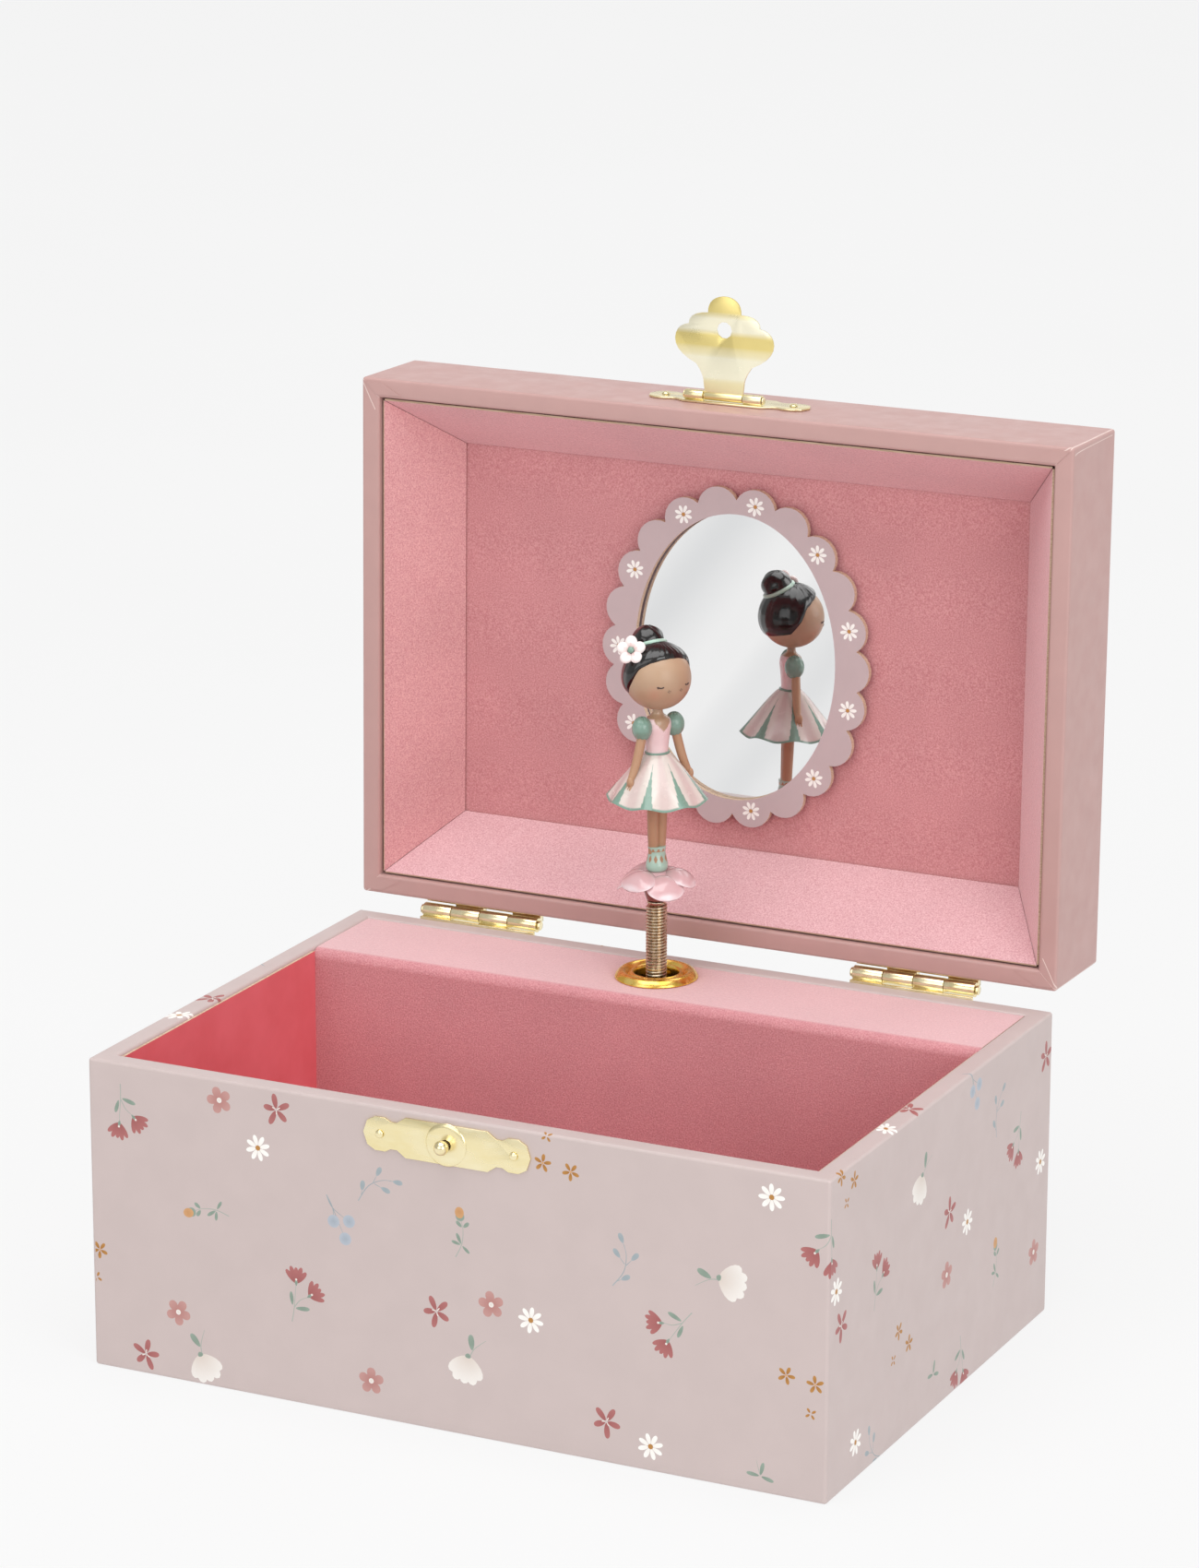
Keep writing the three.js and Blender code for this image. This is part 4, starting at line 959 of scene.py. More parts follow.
def cover_bend(u, v):
    if v <= bend_low:
        return Vector((u, COVER_FRONT, FLOOR_TOP + v))
    if v >= bend_low + bend_length:
        return Vector((u, COVER_FRONT + COVER_BEND + v - bend_low - bend_length, DECK_Z))
    turn = (v - bend_low) / COVER_BEND
    back = COVER_BEND * (1 - math.cos(turn))
    down = COVER_BEND * (1 - math.sin(turn))
    return Vector((u, COVER_FRONT + back, DECK_Z - down))


cover_x = INNER_X - SEAM
eyelet_v = bend_low + bend_length + SPINDLE.y - COVER_FRONT - COVER_BEND
bend_lines = [bend_low + bend_length * i / 8 for i in range(9)]
sheet(
    "mechanism_card", rectangle(-cover_x, cover_x, 0, cover_length), cover_bend, COVER_CARD, [flock, edge_card],
    "base", "flock", holes=[circle(SPINDLE.x, eyelet_v, 6.4, 40)],
    guides=[((-cover_x, v), (cover_x, v)) for v in bend_lines], replaces=("mechanism_cover",),
)

# The eyelet: a rolled brass ring with a thin inner lip and a slightly dented rim.
eyelet_profile = smooth_profile(
    [(5.6, -2.9), (5.5, -0.6), (5.5, 0.9), (5.9, 1.55), (6.6, 1.2), (7.0, 0.75), (7.5, 1.35), (8.2, 1.9),
     (9.1, 1.7), (9.9, 0.9), (10.2, 0.2), (9.9, 0.05)], 3)
eyelet_profile = [tuple(p) for p in eyelet_profile] + [(6.1, 0.05), (6.1, -2.9)]


def eyelet_spot(a, b):
    count = len(eyelet_profile)
    radius, height = eyelet_profile[round(b * count) % count]
    angle = TAU * a
    if radius > 6.3:
        radius *= 1 + 0.006 * math.sin(3 * angle + 0.5) + 0.004 * math.sin(7 * angle)
    return SPINDLE + Vector((radius * math.cos(angle), radius * math.sin(angle), DECK_Z + height))


skin("eyelet", eyelet_spot, 72, len(eyelet_profile), eyelet_brass, "base", "eyelet_brass", loop=True,
     replaces=("eyelet_ring",), sharp=60)

# ---------- spring ----------

SPRING_LOW = 74.3
SPRING_HIGH = 93.9
SPRING_PITCH = 0.78
COIL_RADIUS = 2.28
WIRE_RADIUS = 0.36
POINTS_PER_TURN = 26

coils = (SPRING_HIGH - SPRING_LOW) / SPRING_PITCH
steps = round(coils * POINTS_PER_TURN)
coil_path = [
    SPINDLE + Vector((
        COIL_RADIUS * math.cos(TAU * coils * i / steps),
        COIL_RADIUS * math.sin(TAU * coils * i / steps),
        SPRING_LOW + (SPRING_HIGH - SPRING_LOW) * i / steps,
    ))
    for i in range(steps + 1)
]
coil = tube("spring_coil", coil_path, lambda t: WIRE_RADIUS, copper, None, "spring_copper", sides=8,
            replaces=("dancer_spring",))
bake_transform(coil)

# ---------- lid ----------

lid_profile = (
    [(LID_BOARD, LID_TOP - LID_BOARD)]
    + arc((LID_BOARD - ROUND, LID_RIM + ROUND), ROUND, 0, -90)
    + arc((ROUND, LID_RIM + ROUND), ROUND, 270, 180)
    + arc((ROUND, LID_TOP - ROUND), ROUND, 180, 90)
)
lid_tray = Tray(lid_profile, 10)
CREASE = (colour("#e6d3cd"), colour("#dcc3bc"))


def crease(points, width):
    return {
        "outline": stroke(points, width, 1.0), "inner": CREASE[0], "outer": CREASE[1],
        "centre": Vector(points[0]), "reach": 8.0,
    }


def lid_creases():
    """Pale worn lines where the paper is folded: down each corner and across the rim's mitres."""
    made = []
    rim_low = lid_tray.reach[1] - 0.3
    for side in range(4):
        corner = lid_tray.starts[side] + lid_tray.straight[side]
        end = corner + lid_tray.bend_length
        fold = [(corner + 0.2, rim_low), (corner + 0.35, LID_RIM + 6), (corner + 0.3, LID_TOP - 0.4)]
        beside = [(end + 1.2, LID_RIM + 1.0), (end + 0.7, LID_RIM + 5), (end + 0.4, LID_TOP - 2)]
        mitre = [(corner - 4.2, LID_RIM - 3.4), (corner - 2.2, LID_RIM - 1.4), (corner, LID_RIM + 0.6)]
        made += [crease(fold, 0.35), crease(beside, 0.22), crease(mitre, 0.3)]
    return made


wrapped_tray(
    "lid_shell", lid_tray, lid_paper, LID_COLOUR, "lid", "lid_paper", regions=lid_creases(), place=LID_SWING,
    replaces=tuple(f"lid_{board}_board" for board in ("top", "front", "back", "left", "right")),
)

# Folded paper flaps over the rim's corners, a paper's thickness proud.
FLAP_OUTER = 0.9
FLAP_INNER = LID_BOARD - 0.8
FLAP_PAPER = 0.13
for number, (sx, sy) in enumerate(((-1, -1), (1, -1), (1, 1), (-1, 1)), 1):
    flap = [
        (sx * (HALF_X - FLAP_OUTER), -sy * (HALF_Y - FLAP_OUTER)),
        (sx * (HALF_X - FLAP_INNER), -sy * (HALF_Y - FLAP_INNER)),
        (sx * (HALF_X - FLAP_INNER - 7.0), -sy * (HALF_Y - FLAP_INNER)),
        (sx * (HALF_X - FLAP_OUTER - 4.5), -sy * (HALF_Y - FLAP_OUTER)),
    ]
    sheet(f"lid_corner_fold_{number}", flap, plane((0, 0, LID_RIM - 0.14), (1, 0, 0), (0, -1, 0)), FLAP_PAPER,
          [lid_paper, lid_paper], "lid", "lid_paper", plain=LID_COLOUR, place=LID_SWING)

LINER_X = HALF_X - LID_BOARD - SEAM
LINER_Y = HALF_Y - LID_BOARD - SEAM
PANEL_FACE = LID_TOP - LID_BOARD - SEAM - LID_LINER
STRIP_RIM = LID_RIM + 1.2
STRIP_CARD = 0.5
STRIP_INSET = 0.7
STRIP_SPLAY = 12.8
STRIP_RISE = PANEL_FACE - 0.4 - STRIP_RIM
MITRE_GAP = 0.08

card("lid_velvet_panel", (-LINER_X, LINER_Y, PANEL_FACE), (1, 0, 0), (0, -1, 0), 2 * LINER_X, 2 * LINER_Y,
     LID_LINER, panel_flock, "lid", "flock", place=LID_SWING, replaces=("lid_lining_panel",))


def velvet_strip(side, half_length, wall, quarter_turns):
    """One side of the lid's splayed lining, sloping inwards from the rim to the panel."""
    slope = math.hypot(STRIP_SPLAY, STRIP_RISE)
    rim_half = half_length - STRIP_INSET - MITRE_GAP
    panel_half = rim_half - STRIP_SPLAY
    outline = [(-rim_half, 0), (rim_half, 0), (panel_half, slope), (-panel_half, slope)]
    bend = plane((0, STRIP_INSET - wall, STRIP_RIM), (-1, 0, 0), (0, STRIP_SPLAY / slope, STRIP_RISE / slope))
    place = LID_SWING @ Matrix.Rotation(quarter_turns * math.pi / 2, 4, "Z")
    sheet(f"lid_velvet_{side}", outline, bend, STRIP_CARD, [strip_flocks[side], edge_card], "lid", "flock",
          place=place, replaces=(f"lid_lining_{side}",))


for turns, side in enumerate(("front", "right", "back", "left")):
    half_length, wall = (LINER_X, LINER_Y) if turns % 2 == 0 else (LINER_Y, LINER_X)
    velvet_strip(side, half_length, wall, turns)

# ---------- mirror ----------

MIRROR_HALF = (27.0, 36.0)
SCALLOPS = 22
SCALLOP_OVAL = (30.5, 37.5)
SCALLOP_RADIUS = 5.5
FRAME_THICKNESS = 1.5
DAISY_OUTWARDS = 1.035
GLASS_LIP = 1.6
MIRROR_RAISE = 1.4
MIRROR_LEAN = math.radians(0.9)
GLASS_BACK = PANEL_FACE - 2 * SEAM
FRAME_FACE = GLASS_BACK - 1.2 - FRAME_THICKNESS


def even_oval(half_x, half_y, count):
    """Points spaced evenly along an oval."""
    fine = 720
    rim = [(half_x * math.cos(TAU * i / fine), half_y * math.sin(TAU * i / fine)) for i in range(fine + 1)]
    lengths = [0.0]
    for a, b in zip(rim, rim[1:]):
        lengths.append(lengths[-1] + math.dist(a, b))
    picked, i = [], 0
    for k in range(count):
        while lengths[i] < lengths[-1] * k / count:
            i += 1
        picked.append(Vector(rim[i]))
    return picked


def scalloped_outline():
    """The scallops' centres, and the outline along their arcs."""
    steps = 9
    centres = even_oval(*SCALLOP_OVAL, SCALLOPS)
    points = []
    for i, centre in enumerate(centres):
        before = centres[i - 1] - centre
        after = centres[(i + 1) % SCALLOPS] - centre
        start = math.atan2(before.y, before.x) + math.acos(before.length / 2 / SCALLOP_RADIUS)
        end = math.atan2(after.y, after.x) - math.acos(after.length / 2 / SCALLOP_RADIUS)
        sweep = (end - start) % TAU
        for step in range(steps):
            angle = start + sweep * step / steps
            points.append(centre + Vector((math.cos(angle), math.sin(angle))) * SCALLOP_RADIUS)
    return centres, points


scallop_centres, scallop_outline = scalloped_outline()
frame_print = []
for i in range(1, SCALLOPS, 2):
    turn = Matrix.Rotation(0.7 * i, 2)
    centre = scallop_centres[i] * DAISY_OUTWARDS
    for item in daisy(2.4):
        outline = [turn @ Vector(p) + centre for p in item["outline"]]
        frame_print.append({**item, "outline": outline, "centre": centre})
sheet(
    "mirror_scallop_frame", scallop_outline, plane((0, -MIRROR_RAISE, FRAME_FACE), (1, 0, 0), (0, -1, 0)),
    FRAME_THICKNESS, [frame_card, edge_card], "lid", "frame_card", plain=FRAME_COLOUR,
    holes=[even_oval(*MIRROR_HALF, 96)], regions=frame_print, place=LID_SWING, replaces=("mirror_frame",),
)
sheet(
    "mirror_pane", even_oval(MIRROR_HALF[0] + GLASS_LIP, MIRROR_HALF[1] + GLASS_LIP, 72),
    plane((0, -MIRROR_RAISE, GLASS_BACK - 0.56), (1, 0, 0), (0, -math.cos(MIRROR_LEAN), math.sin(MIRROR_LEAN))),
    0.1, [mirror_glass, mirror_glass], "lid", "mirror_glass", place=LID_SWING, replaces=("mirror_glass",),
)

# ---------- metal fittings, refined from their CAD solids ----------


def refined(node, look, body, bevel=0.1, corner=35.0):
    """The CAD solid's shape with its flats merged and its hard edges rounded."""
    made = bmesh.new()
    made.from_mesh(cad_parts[node].data)
    bmesh.ops.remove_doubles(made, verts=made.verts, dist=2e-6)
    bmesh.ops.dissolve_limit(made, angle_limit=math.radians(1.5), verts=made.verts, edges=made.edges)
    hard = [e for e in made.edges if e.is_manifold and e.calc_face_angle(0) > math.radians(corner)]
    bmesh.ops.bevel(made, geom=hard, offset=bevel * MM, segments=2, profile=0.5, affect="EDGES",
                    clamp_overlap=True)
    mesh = bpy.data.meshes.new(node + "_fine")
    made.to_mesh(mesh)
    made.free()
    mesh.materials.append(look.material)
    mesh.shade_smooth()
    mesh.set_sharp_from_angle(angle=math.radians(45))
    piece = bpy.data.objects.new(node + "_fine", mesh)
    bpy.context.collection.objects.link(piece)
    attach(piece, body)
    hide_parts(node)
    return piece


for node in ("catch_plate", "catch_knob", "catch_nail_left", "catch_nail_right"):
    refined(node, bright_brass if node == "catch_knob" else brass, "base")
for node in ("clasp_plate", "clasp_pin", "clasp_nail_left", "clasp_nail_right"):
    refined(node, brass, "lid")
for side in ("left", "right"):
    refined(f"hinge_{side}_base_leaf", bright_brass, "base", 0.15)
    refined(f"hinge_{side}_pin", bright_brass, "base", 0.08)
    refined(f"hinge_{side}_lid_leaf", bright_brass, "lid", 0.15)
refined("hasp", hasp_brass, "hasp", 0.12)
refined("spring_peg", copper, "spring", 0.15)
refined("winding_arbor", steel, "key")
refined("winding_key", brass, "key", 0.25)
refined("key_escutcheon", brass, "base")
for number in (1, 2):
    refined(f"mounting_screw_{number}", steel, "base")

# The round boss pressed into the catch plate about its knob.
CATCH_FACE = -HALF_Y - SEAM - 0.5
CATCH_HEIGHT = LID_RIM + 9.7 - 16.4
BOSS = [(1.6, 0.03), (1.7, -0.3), (2.6, -0.42), (4.0, -0.4), (4.7, -0.28), (5.0, -0.1), (5.1, 0.03)]
lathe("catch_boss", BOSS, brass, "base", "brass", (0, CATCH_FACE, CATCH_HEIGHT), "Y", 64, closed=True, sharp=60)

# Round nail heads on the visible hinge leaves.
LEAF_FACE = HALF_Y + 1.2
NAIL_PITCH = 11
NAIL_HEAD = [(0, 0.7), (0.5, 0.6), (0.95, 0.3), (1.1, -0.1), (0, -0.1)]
for side, centre in (("left", -60.8), ("right", 57.1)):
    for leaf, swing, height in (("base", None, 68.4), ("lid", LID_SWING, 86.8)):
        for number in (1, 2, 3):
            middle = (centre + (number - 2) * NAIL_PITCH, LEAF_FACE, height)
            lathe(f"hinge_{side}_{leaf}_nail_{number}", NAIL_HEAD, bright_brass, leaf, "brass", middle, "Y", 20,
                  place=swing)

MOVEMENT_LOOKS = {
    "movement_bedplate": steel,
    "tuned_comb": steel,
    "comb_screw_1": blue_steel,
    "comb_screw_2": blue_steel,
    "dancer_spindle": movement_brass,
    "spring_barrel": movement_brass,
    "mainspring": blue_steel,
    "music_cylinder": movement_brass,
    "governor_fan": movement_brass,
}
for node, look in MOVEMENT_LOOKS.items():
    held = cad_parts[node].data.materials
    held.clear()
    held.append(look.material)

# ---------- dancer, made facing -Y about the spindle's axis ----------

HEAD = Vector((0.0, 0.0, 150.8))
HEAD_RADIUS = 8.05
FACE = -math.pi / 2


def dancer_part(maker, name, *details, place=DANCER_PLACE, **options):
    return maker(name, *details, "dancer", "figure_paint", place=place, **options)


def one(shade):
    """A paint of one colour."""
    return lambda a, b: shade


def head_reach(way):
    """The head's outline: a ball drawn in a little towards the chin."""
    low = max(0.0, -way.z)
    return 1.0 - 0.055 * low * low + 0.012 * max(0.0, way.z)


def on_head(azimuth, rise, lift=0.0):
    """A point on the head; azimuth in degrees from the face's middle towards +X, rise in degrees."""
    turn, up = FACE + math.radians(azimuth), math.radians(rise)
    way = Vector((math.cos(turn) * math.cos(up), math.sin(turn) * math.cos(up), math.sin(up)))
    return HEAD + way * (HEAD_RADIUS * head_reach(way) + lift)


def head_paint(a, b):
    azimuth = math.degrees(TAU * a - FACE)
    blush = 0.0
    for cheek in (-38, 38):
        apart = math.hypot((azimuth - cheek + 180) % 360 - 180, (b - 0.5) * 180 + 16)
        blush = max(blush, 1 - apart / 20)
    return mixed(SKIN, colour("#cc8f7a"), 0.35 * blush)


dancer_part(egg, "dancer_head", HEAD, (HEAD_RADIUS,) * 3, skin_paint, columns=72, rows=48, shape=head_reach,
            paint=head_paint, replaces=("dancer_figure",))

HAIRLINE = ((0, 47), (25, 45), (50, 38), (70, 26), (82, 2), (100, -22), (180, -38))


def hairline(azimuth):
    away = abs((azimuth + 180) % 360 - 180)
    return float(np.interp(away, *zip(*HAIRLINE)))


def hair_spot(a, b):
    """The hair's skin: out over the head from its crown to the hairline, and back under."""
    azimuth = 360 * a
    edge = hairline(azimuth)
    outward = b <= 0.6
    share = b / 0.6 if outward else (1 - b) / 0.4
    rise = 90 - (90 - edge) * share
    strand = 0.05 * math.sin(math.radians(azimuth) * 24 + 3 * share)
    lift = (0.75 + strand) * (1 - share ** 9) + 0.05 if outward else -0.9
    return on_head(azimuth, rise, lift)


dancer_part(skin, "dancer_hair", hair_spot, 96, 40, hair_paint, sharp=70)

BUN = Vector((0.0, 4.4, 159.1))
dancer_part(egg, "dancer_bun", BUN, (3.95, 3.9, 3.75), hair_paint, columns=48, rows=28,
            shape=lambda way: 1 + 0.022 * math.sin(5 * math.atan2(way.y, way.x) + 5 * way.z))


def turned_to(middle, way):
    """A placement that stands a part's +Z along a direction at a point."""
    return DANCER_PLACE @ Matrix.Translation(middle) @ Vector(way).to_track_quat("Z", "Y").to_matrix().to_4x4()


# The ribbon lies where the bun meets the hair.
BAND_MIDDLE = Vector((0, 3.75, 157.95))
band = [(x, y, 0) for x, y in circle(0, 0, 3.8, 48)]
dancer_part(tube, "dancer_hair_band", band, lambda t: 0.62, figure_paint, sides=14, closed=True,
            paint=one(MINT), place=turned_to(BAND_MIDDLE, BUN - HEAD))

BLOOM_PLACE = turned_to((-7.2, 0.6, 158.4), (-0.62, -0.62, 0.42))


def bloom_paint(a, b):
    return mixed(colour("#e7b7b4"), colour("#fbf1ee"), min(1.0, 0.25 + abs(math.cos(TAU * a / 2))))


for number, angle in enumerate(spokes(5, 0.4), 1):
    middle = (2.0 * math.cos(angle), 2.0 * math.sin(angle), 0.0)
    spin = Matrix.Translation(middle) @ Matrix.Rotation(angle, 4, "Z") @ Matrix.Rotation(-0.22, 4, "Y")
    dancer_part(egg, f"dancer_bloom_petal_{number}", (0, 0, 0), (1.65, 1.5, 0.85), figure_paint,
                columns=28, rows=16, paint=bloom_paint, place=BLOOM_PLACE @ spin)
dancer_part(egg, "dancer_bloom_centre", (0, 0, 0.55), (0.8, 0.8, 0.6), figure_paint, columns=20, rows=12,
            paint=one(GREEN), place=BLOOM_PLACE)
dancer_part(egg, "dancer_bloom_clip", (0, 0, -1.1), (1.9, 1.9, 1.6), hair_paint, columns=24, rows=14,
            place=BLOOM_PLACE)

# Closed eyes with lashes, and a few freckles, as fine raised paint.
for side, azimuth in (("right", -27), ("left", 27)):
    lid_line = [on_head(azimuth + 4.5 * math.cos(t), -1.5 - 2.2 * math.sin(t), 0.02)
                for t in np.linspace(0, math.pi, 9)]
    dancer_part(tube, f"dancer_eye_{side}", lid_line, lambda t: 0.17, ink, sides=8)
    outward = math.copysign(1, azimuth)
    for number, lean in enumerate((0.2, 0.75, 1.3)):
        start = on_head(azimuth + outward * 4.5 * math.cos(lean * 0.8), -1.5 - 2.2 * math.sin(lean * 0.8), 0.02)
        end = on_head(azimuth + outward * (5.2 + 2.2 * math.cos(lean)), -1.4 - 3.6 * math.sin(lean), 0.02)
        dancer_part(tube, f"dancer_lash_{side}_{number + 1}", [start, (start + end) / 2, end],
                    lambda t: 0.12 * (1 - 0.5 * t), ink, sides=6)
    for number, (across, down) in enumerate(((10, -10.5), (12.5, -9), (14.5, -11), (12.2, -12.6))):
        dancer_part(egg, f"dancer_freckle_{side}_{number + 1}", on_head(outward * across, down), (0.11,) * 3,
                    ink, columns=8, rows=6)

# Bodice with a V neck, over bare shoulders.
WAIST = 132.2
NECK_TOP = 8.9
bodice_curve = smooth_profile(
    [(2.75, 0), (2.85, 2.2), (3.2, 4.8), (3.55, 7.0), (3.1, 8.6), (1.75, 9.6), (1.35, 10.4), (1.35, 12.2)], 6)


def curve_point(curve, b):
    return curve[round(b * (len(curve) - 1))]


def bodice_spot(a, b):
    p = curve_point(bodice_curve, b)
    return (p.x * math.cos(TAU * a), 0.82 * p.x * math.sin(TAU * a), WAIST + p.y)


def bodice_paint(a, b):
    away = abs((TAU * a - FACE + math.pi) % TAU - math.pi)
    neckline = 5.9 + 3.4 * away if away < 0.75 else NECK_TOP
    return SKIN if curve_point(bodice_curve, b).y > min(neckline, NECK_TOP) else colour("#f1d3d4")


dancer_part(skin, "dancer_bodice", bodice_spot, 120, len(bodice_curve) - 1, figure_paint, paint=bodice_paint)
waist_line = [(2.95 * math.cos(TAU * i / 48), 2.45 * math.sin(TAU * i / 48), WAIST + 0.25) for i in range(48)]
dancer_part(tube, "dancer_waistband", waist_line, lambda t: 0.3, figure_paint, sides=10, closed=True,
            paint=one(GREEN))

# Skirt: eight soft folds with green pleats between pale panels, and a green hem.
SKIRT_DROP = 11.4
SKIRT_CLOTH = 0.75
FOLDS = 8


def skirt_share(b):
    """Whether b is on the skirt's outside, and how far it is from the waist to the hem."""
    outward = b <= 0.5
    return outward, b * 2 if outward else (1 - b) * 2


def skirt_spot(a, b):
    outward, share = skirt_share(b)
    angle = TAU * a
    fold = math.cos(FOLDS * angle)
    radius = 2.9 + 9.2 * share ** 0.86 * (1 + 0.045 * share * share * fold) - (0 if outward else SKIRT_CLOTH)
    drop = SKIRT_DROP * share - 0.45 * share ** 3 * fold - (0 if outward else 0.15)
    return (radius * math.cos(angle), radius * math.sin(angle), WAIST + 0.1 - drop)


def skirt_paint(a, b):
    outward, share = skirt_share(b)
    phase = ((a * FOLDS + 0.5) % 1) - 0.5
    if not outward:
        return colour("#dcb9b4")
    if share > 0.96 or abs(phase) < 0.19 * max(0.0, share - 0.14):
        return GREEN
    white = min(1.0, max(0.0, (0.4 - abs(phase)) / 0.16))
    return mixed(colour("#d7c3be"), colour("#e1d6ce"), white)


dancer_part(skin, "dancer_skirt", skirt_spot, 288, 72, figure_paint, paint=skirt_paint, loop=True, sharp=60)

arm = smooth_profile([(4.7, 137.6), (5.5, 134.4), (6.4, 131.2), (7.4, 128.6), (8.2, 127.0)], 5)
leg = smooth_profile([(0.95, 106.2), (0.98, 109), (1.1, 113), (1.2, 118), (1.3, 123)], 4)
FINGER_BEND = ((0, 0, 0), (0.35, -0.05, -0.8), (0.8, -0.1, -1.5))


def sleeve_reach(way):
    return 1 + 0.03 * math.cos(9 * math.atan2(way.y, way.x)) * abs(way.z)


for side, sign in (("right", -1), ("left", 1)):
    dancer_part(egg, f"dancer_sleeve_{side}", (sign * 4.6, -0.3, 138.9), (2.45, 2.5, 2.95), figure_paint,
                columns=40, rows=24, shape=sleeve_reach, paint=one(GREEN))
    arm_path = [(sign * p.x, -0.6 - 0.5 * i / len(arm), p.y) for i, p in enumerate(arm)]
    dancer_part(tube, f"dancer_arm_{side}", arm_path, lambda t: 1.15 - 0.35 * t + 0.12 * math.sin(math.pi * t),
                skin_paint, sides=20, paint=one(SKIN_LEG))
    dancer_part(egg, f"dancer_hand_{side}", (sign * 8.5, -1.3, 126.3), (0.85, 1.05, 1.35), skin_paint,
                columns=20, rows=14, paint=one(SKIN_LEG))
    for finger in range(3):
        start = Vector((sign * (8.4 + 0.1 * finger), -1.9 + 0.65 * finger, 126.0))
        finger_path = [start + Vector((sign * x, y, z)) for x, y, z in FINGER_BEND]
        dancer_part(tube, f"dancer_finger_{side}_{finger + 1}", finger_path, lambda t: 0.33 - 0.1 * t,
                    skin_paint, sides=8, paint=one(SKIN_LEG))
    dancer_part(tube, f"dancer_leg_{side}", [(sign * p.x, 0, p.y) for p in leg], lambda t: 1.25 + 0.3 * t,
                skin_paint, sides=24, paint=one(SKIN_LEG))

SOLE = 102.7
shoe_curve = smooth_profile(
    [(1.7, 0), (2.5, 0.35), (2.75, 1.6), (2.45, 3.2), (2.15, 4.6), (2.2, 5.6), (2.25, 6.2), (1.9, 6.3)], 6)


def shoe_spot(a, b):
    p = curve_point(shoe_curve, b)
    toe = 0.35 * math.exp(-((p.y - 1.4) / 1.4) ** 2) * max(0.0, -math.sin(TAU * a))
    return (p.x * math.cos(TAU * a) * 1.02, (p.x * 0.86 + toe) * math.sin(TAU * a), SOLE + p.y)


def shoe_paint(a, b):
    """Bare skin shows in diamonds between the shoe's straps, and in notches under its top band."""
    height = curve_point(shoe_curve, b).y
    across = abs(((a * 10) % 1) - 0.5) * 2
    along = abs(height - 3.3) / 1.25
    bare = across + along < 0.72
    upper = 5.0 < height < 5.75 and across > (height - 5.0) / 0.9
    return SKIN_LEG if bare or upper else MINT


dancer_part(skin, "dancer_shoes", shoe_spot, 120, len(shoe_curve) - 1, figure_paint, paint=shoe_paint)

# ---------- petal foot ----------

PETALS = 6


def foot_petal(number):
    upper = number % 2
    turn = TAU * (number + 0.25) / PETALS
    droop = 2.0 if upper else 3.0

    def spot(a, b):
        length = 1.6 + 8.0 * b
        width = 4.7 * max(0.0, 1 - abs(2 * b ** 1.35 - 1) ** 2.6) ** 0.5
        crown = 100.7 + 0.8 * upper - droop * b ** 3 + 0.9 * math.sin(math.pi * b)
        thick = 0.25 + 1.05 * max(0.0, math.sin(math.pi * b)) ** 0.4
        side = math.cos(TAU * a)
        lift = math.sin(TAU * a) * thick * math.sqrt(max(0.0, 1 - 0.55 * side * side))
        sag = 1.1 * side * side * math.sin(math.pi * b)
        return (length * math.cos(turn) - width * side * math.sin(turn),
                length * math.sin(turn) + width * side * math.cos(turn), crown + lift - sag)

    def paint(a, b):
        rim = max(abs(math.cos(TAU * a)) ** 10, max(0.0, (b - 0.9) / 0.08))
        return mixed(SHELL_PINK, colour("#f6e6e9"), min(rim, 1.0))

    skin(f"foot_petal_{number + 1}", spot, 48, 28, petal_paint, "dancer", "petal_paint", paint=paint,
         place=DANCER_PLACE, sharp=80)


for number in range(PETALS):
    foot_petal(number)

NECK = [
    (0, 95.35), (2.2, 95.35), (2.7, 96.2), (3.2, 98.0), (3.6, 99.8), (2.9, 101.8), (2.2, 102.7), (0, 102.75),
]


def neck_paint(a, b):
    return colour("#8e5347") if b < 0.45 else SHELL_PINK


lathe("foot_neck", smooth_profile(NECK, 4), petal_paint, "dancer", "petal_paint", paint=neck_paint,
      place=DANCER_PLACE, replaces=("petal_foot",))

# ---------- stage, light and camera ----------

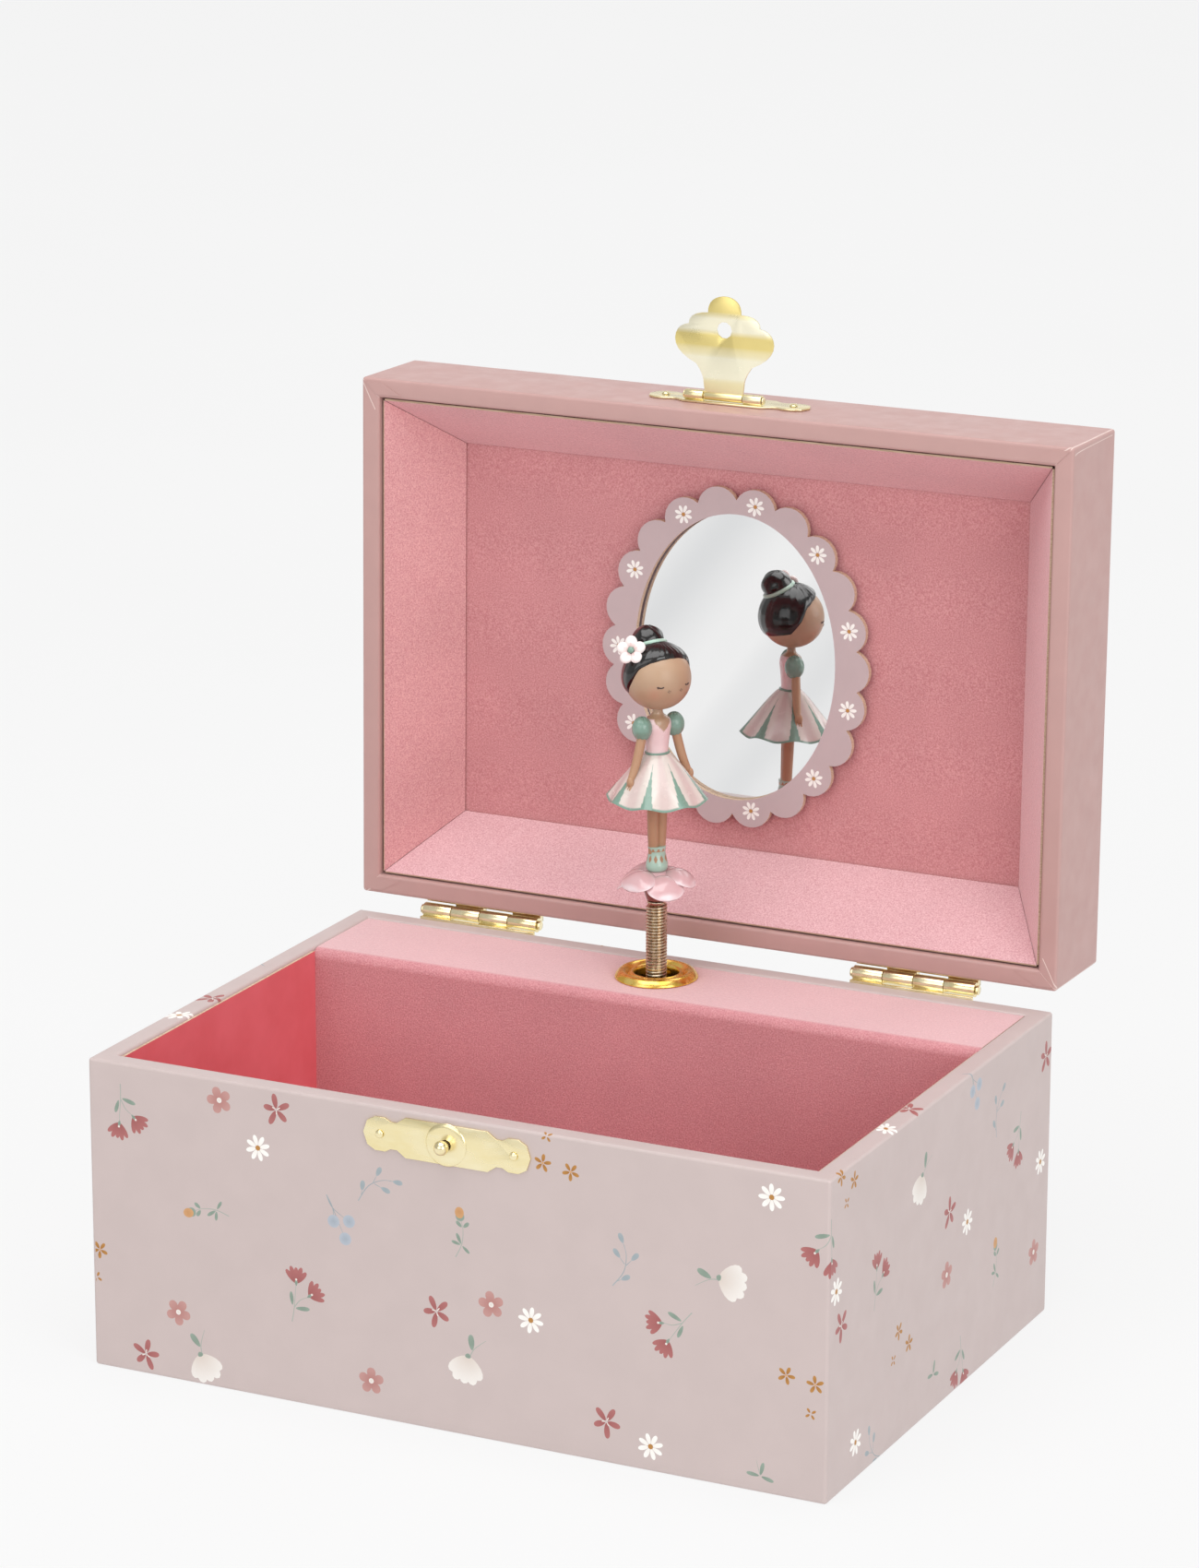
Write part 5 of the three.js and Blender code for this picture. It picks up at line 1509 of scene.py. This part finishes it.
STUDIO_WHITE = colour("#f6f6f6")
floor_look = Look("studio floor", "#d8d8d8", 0.9, Specular_IOR_Level=0.1)
floor_look.set("Emission Color", STUDIO_WHITE)
floor_look.set("Emission Strength", 0.89)
floor_look.tint("#585858", "#5c5c5c", 400.0)
floor_steps = [(-2.2, 0.0), (1.4, 0.0), (1.75, 0.06), (1.98, 0.24), (2.1, 0.55), (2.1, 2.4)]
floor_mesh = bpy.data.meshes.new("studio_floor")
floor_points = [(x, y, z) for y, z in floor_steps for x in (-3.0, 3.0)]
floor_faces = [(2 * i, 2 * i + 1, 2 * i + 3, 2 * i + 2) for i in range(len(floor_steps) - 1)]
floor_mesh.from_pydata(floor_points, [], floor_faces)
floor_mesh.materials.append(floor_look.material)
floor_mesh.shade_smooth()
floor = bpy.data.objects.new("studio_floor", floor_mesh)
bpy.context.collection.objects.link(floor)

world = bpy.data.worlds.new("studio")
bpy.context.scene.world = world
world.use_nodes = True
background = world.node_tree.nodes["Background"]
background.inputs["Color"].default_value = STUDIO_WHITE
background.inputs["Strength"].default_value = 0.55


def softbox(name, place, target, size, power):
    light = bpy.data.lights.new(name, "AREA")
    light.shape = "RECTANGLE"
    light.size, light.size_y = size
    light.energy = power
    lamp = bpy.data.objects.new(name, light)
    lamp.location = place
    lamp.rotation_euler = (Vector(target) - Vector(place)).to_track_quat("-Z", "Y").to_euler()
    bpy.context.collection.objects.link(lamp)


softbox("overhead_softbox", (0.05, -0.2, 1.3), (0, 0.03, 0.08), (1.2, 1.0), 10.0)
softbox("front_softbox", (-0.15, -1.5, 0.8), (0, 0, 0.1), (1.3, 1.0), 5.6)
softbox("side_softbox", (1.4, -0.9, 0.7), (0, 0, 0.1), (1.0, 1.0), 9.5)

CAMERA_PLACE = (0.52669, -1.0668, 0.47094)
camera_data = bpy.data.cameras.new("photo_camera")
camera_data.lens = 122.24
camera_data.sensor_width = 36
camera = bpy.data.objects.new("photo_camera", camera_data)
yaw, pitch, roll = math.radians(-26.03), math.radians(15.67), math.radians(0.13)
look_way = Vector((math.sin(yaw) * math.cos(pitch), math.cos(yaw) * math.cos(pitch), -math.sin(pitch)))
level = Vector((math.cos(yaw), -math.sin(yaw), 0))
upright = level.cross(look_way)
right = level * math.cos(roll) + upright * math.sin(roll)
upright = upright * math.cos(roll) - level * math.sin(roll)
camera_turn = Matrix((right, upright, -look_way)).transposed().to_4x4()
camera.matrix_world = Matrix.Translation(CAMERA_PLACE) @ camera_turn
bpy.context.collection.objects.link(camera)
bpy.context.scene.camera = camera
bpy.context.scene.view_settings.view_transform = "Standard"
